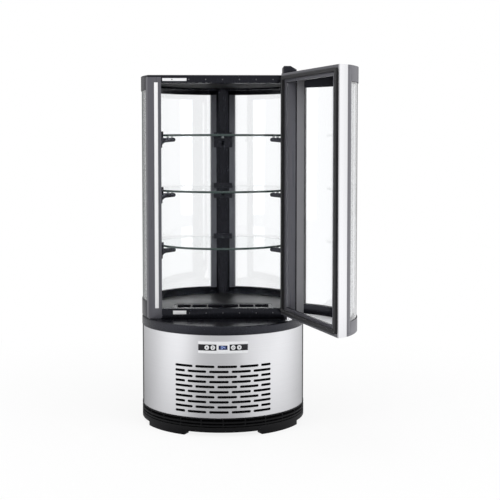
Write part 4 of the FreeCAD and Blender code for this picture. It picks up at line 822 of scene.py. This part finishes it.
def screwHead(name, radius, proud):
    sides = headForm["sides"]
    every = sides // headForm["arms"]
    bm = bmesh.new()

    def headRing(shares, height):
        ring = []
        for step, share in enumerate(shares):
            turn = 2 * math.pi * step / sides
            reach = radius * share
            ring.append(bm.verts.new((reach * math.cos(turn), reach * math.sin(turn), proud * height)))
        return ring

    cross = [headForm["slotShort"] if step % every else headForm["slotLong"] for step in range(sides)]
    joinRings(bm, [
        headRing([1.0] * sides, 0.0), headRing([1.0] * sides, headForm["rimHigh"]),
        headRing([headForm["crown"]] * sides, 1.0),
        headRing(cross, 1.0), headRing(cross, 1.0 - headForm["slotDeep"])])
    bmesh.ops.recalc_face_normals(bm, faces=bm.faces)
    piece = bpy.data.objects.new(name, meshFrom(bm, name))
    scene.collection.objects.link(piece)
    return piece


def setScrews(name, row, spots, finish, body):
    base = bpy.data.meshes.new(name + "Spots")
    base.from_pydata([spot for spot, facing in spots], [], [])
    facing = base.attributes.new("facing", "FLOAT_VECTOR", "POINT")
    for item, (spot, outward) in zip(facing.data, spots):
        item.vector = outward
    head = screwHead(name + "Head", row["radius"] * mm, row["proud"] * mm)
    mesh = grown(name, base, fixings, {"Head": head, "Seed": headForm["seed"], "Material": finishOf[finish]})
    bpy.data.objects.remove(head)
    settle(name, mesh, body)


fixings = fixingTree()
towardsFront = (0, -1, 0)
for name, host in (("header", "front_header"), ("sill", "front_sill")):
    row = screwRows[name]
    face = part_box(host)[0].y
    spots = [((row["from"] + step * row["pitch"], face, row["height"]), towardsFront)
             for step in range(row["count"])]
    setScrews(name + "Screws", row, spots, "zinc_fixing", "cabinet")
row = screwRows["casing"]
low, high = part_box("rear_casing")
radius = max(math.hypot(vertex.co.x, vertex.co.y) for vertex in nodes["rear_casing"].data.vertices)
spots = []
for turn in row["turns"]:
    for side in (-1, 1):
        for height in (low.z + row["inset"] * mm, high.z - row["inset"] * mm):
            spots.append((onRound(radius, side * turn, height), onRound(1, side * turn, 0)))
setScrews("casingScrews", row, spots, "zinc_fixing", "cabinet")
print("screws set")


# marks on the four buttons and the figures in the display
icons = {"button_up": "rising", "button_down": "falling", "button_power": "switch", "button_lamp": "bulb"}
iconForm = {
    "size": 3.3, "thick": 0.12, "stroke": 0.9, "barLow": 0.1,  # millimetres
    # shares of the size
    "triangle": ((-1, -0.62), (1, -0.62), (0, 0.9)),
    "switch": {"radius": 0.95, "rise": 0.0, "gapDeg": 35},
    "bulb": {"radius": 0.8, "rise": 0.3, "gapDeg": 0},
    "barHigh": 1.1, "footHalf": 0.4, "footLevels": (0.75, 1.15),
    "footThick": 0.8,  # share of the stroke
    "ringSteps": 24, "doubles": 1e-7,
}
digitForm = {"shown": (0, 4), "height": 7.2, "width": 4.0, "stroke": 0.95, "gap": 0.22, "pitch": 6.2,
             "thick": 0.1}
segmentsOf = {0: "abcdef", 4: "fgbc"}


def ringOutline(radius, stroke, start, end, steps):
    turns = [math.radians(start + (end - start) * step / steps) for step in range(steps + 1)]
    outer = [(math.sin(turn) * radius, math.cos(turn) * radius) for turn in turns]
    inner = [(x * (radius - stroke) / radius, y * (radius - stroke) / radius) for x, y in outer]
    return outer, inner


def barOutline(half, low, high):
    return [(-half, low), (half, low), (half, high), (-half, high)]


def iconShapes(kind):
    # flat outlines, each a list of corners in millimetres
    size = iconForm["size"]
    stroke = iconForm["stroke"]
    triangle = [(x * size, y * size) for x, y in iconForm["triangle"]]
    if kind == "rising":
        return [triangle]
    if kind == "falling":
        return [[(x, -y) for x, y in reversed(triangle)]]
    ring = iconForm[kind]
    steps = iconForm["ringSteps"]
    gap = ring["gapDeg"]
    outer, inner = ringOutline(size * ring["radius"], stroke, gap, 360 - gap, steps)
    shapes = []
    for index in range(steps):
        quad = [outer[index], outer[index + 1], inner[index + 1], inner[index]]
        shapes.append([(x, y + size * ring["rise"]) for x, y in quad])
    if kind == "switch":
        shapes.append(barOutline(stroke / 2, iconForm["barLow"], size * iconForm["barHigh"]))
    else:
        for level in iconForm["footLevels"]:
            low = -size * level
            high = low + stroke * iconForm["footThick"]
            shapes.append(barOutline(size * iconForm["footHalf"], low, high))
    return shapes


def raised(bm, outline, thick, place):
    # a flat mark: corners and their twins, thick apart along the face's own outward line
    rows = [[bm.verts.new(place(x, y, rise)) for x, y in outline] for rise in (0.0, thick)]
    for index in range(len(outline)):
        after = (index + 1) % len(outline)
        bm.faces.new((rows[0][index], rows[0][after], rows[1][after], rows[1][index]))
    bm.faces.new(rows[1])
    bm.faces.new(rows[0])


def closeMark(bm):
    bmesh.ops.remove_doubles(bm, verts=bm.verts, dist=iconForm["doubles"])
    paired = [face for face in bm.faces if all(len(edge.link_faces) > 2 for edge in face.edges)]
    bmesh.ops.delete(bm, geom=paired, context="FACES_ONLY")
    bmesh.ops.recalc_face_normals(bm, faces=bm.faces)


def addIcons():
    for node, kind in icons.items():
        low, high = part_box(node)
        centre = (low + high) / 2
        outward = Vector((centre.x, centre.y, 0)).normalized()
        across = Vector((-outward.y, outward.x, 0))
        face = max(Vector((v.co.x, v.co.y, 0)).dot(outward) for v in nodes[node].data.vertices)
        seat = outward * face + Vector((0, 0, centre.z))

        def onButton(x, y, rise):
            return seat + (across * x + Vector((0, 0, y)) + outward * rise) * mm

        bm = bmesh.new()
        for outline in iconShapes(kind):
            raised(bm, outline, iconForm["thick"], onButton)
        closeMark(bm)
        mesh = meshFrom(bm, node + "Mark", finishOf["icon_dark"])
        settle(node + "Mark", mesh, bodyOf[node])


def segmentOutlines():
    wide, tall, stroke, gap = (digitForm[key] / 2 for key in ("width", "height", "stroke", "gap"))

    def bar(x, y, length, level):
        tip = length - gap
        ends = [(-tip, 0), (-tip + stroke, stroke), (tip - stroke, stroke), (tip, 0), (tip - stroke, -stroke),
                (-tip + stroke, -stroke)]
        return [(x + a, y + b) if level else (x + b, y + a) for a, b in ends]

    return {"a": bar(0, tall, wide, True), "g": bar(0, 0, wide, True), "d": bar(0, -tall, wide, True),
            "b": bar(wide, tall / 2, tall / 2, False), "c": bar(wide, -tall / 2, tall / 2, False),
            "f": bar(-wide, tall / 2, tall / 2, False), "e": bar(-wide, -tall / 2, tall / 2, False)}


def addDigits():
    low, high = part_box("display_window")
    middle = (low.z + high.z) / 2
    radius = max(math.hypot(v.co.x, v.co.y) for v in nodes["display_window"].data.vertices)
    outlines = segmentOutlines()
    count = len(digitForm["shown"])
    bm = bmesh.new()
    for place, digit in enumerate(digitForm["shown"]):
        shift = (place - (count - 1) / 2) * digitForm["pitch"]

        def onDisplay(x, y, rise):
            return onRound(radius + rise * mm, math.degrees((x + shift) * mm / radius), middle + y * mm)

        for segment in segmentsOf[digit]:
            raised(bm, outlines[segment], digitForm["thick"], onDisplay)
    bmesh.ops.recalc_face_normals(bm, faces=bm.faces)
    mesh = meshFrom(bm, "displayFigures", finishOf["digit_light"])
    settle("displayFigures", mesh, "cabinet")


addIcons()
addDigits()
print("marks and figures set")


size = {"cadLow": list(cadBox[0]), "cadHigh": list(cadBox[1])}
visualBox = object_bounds()
size["visualLow"], size["visualHigh"] = list(visualBox[0]), list(visualBox[1])
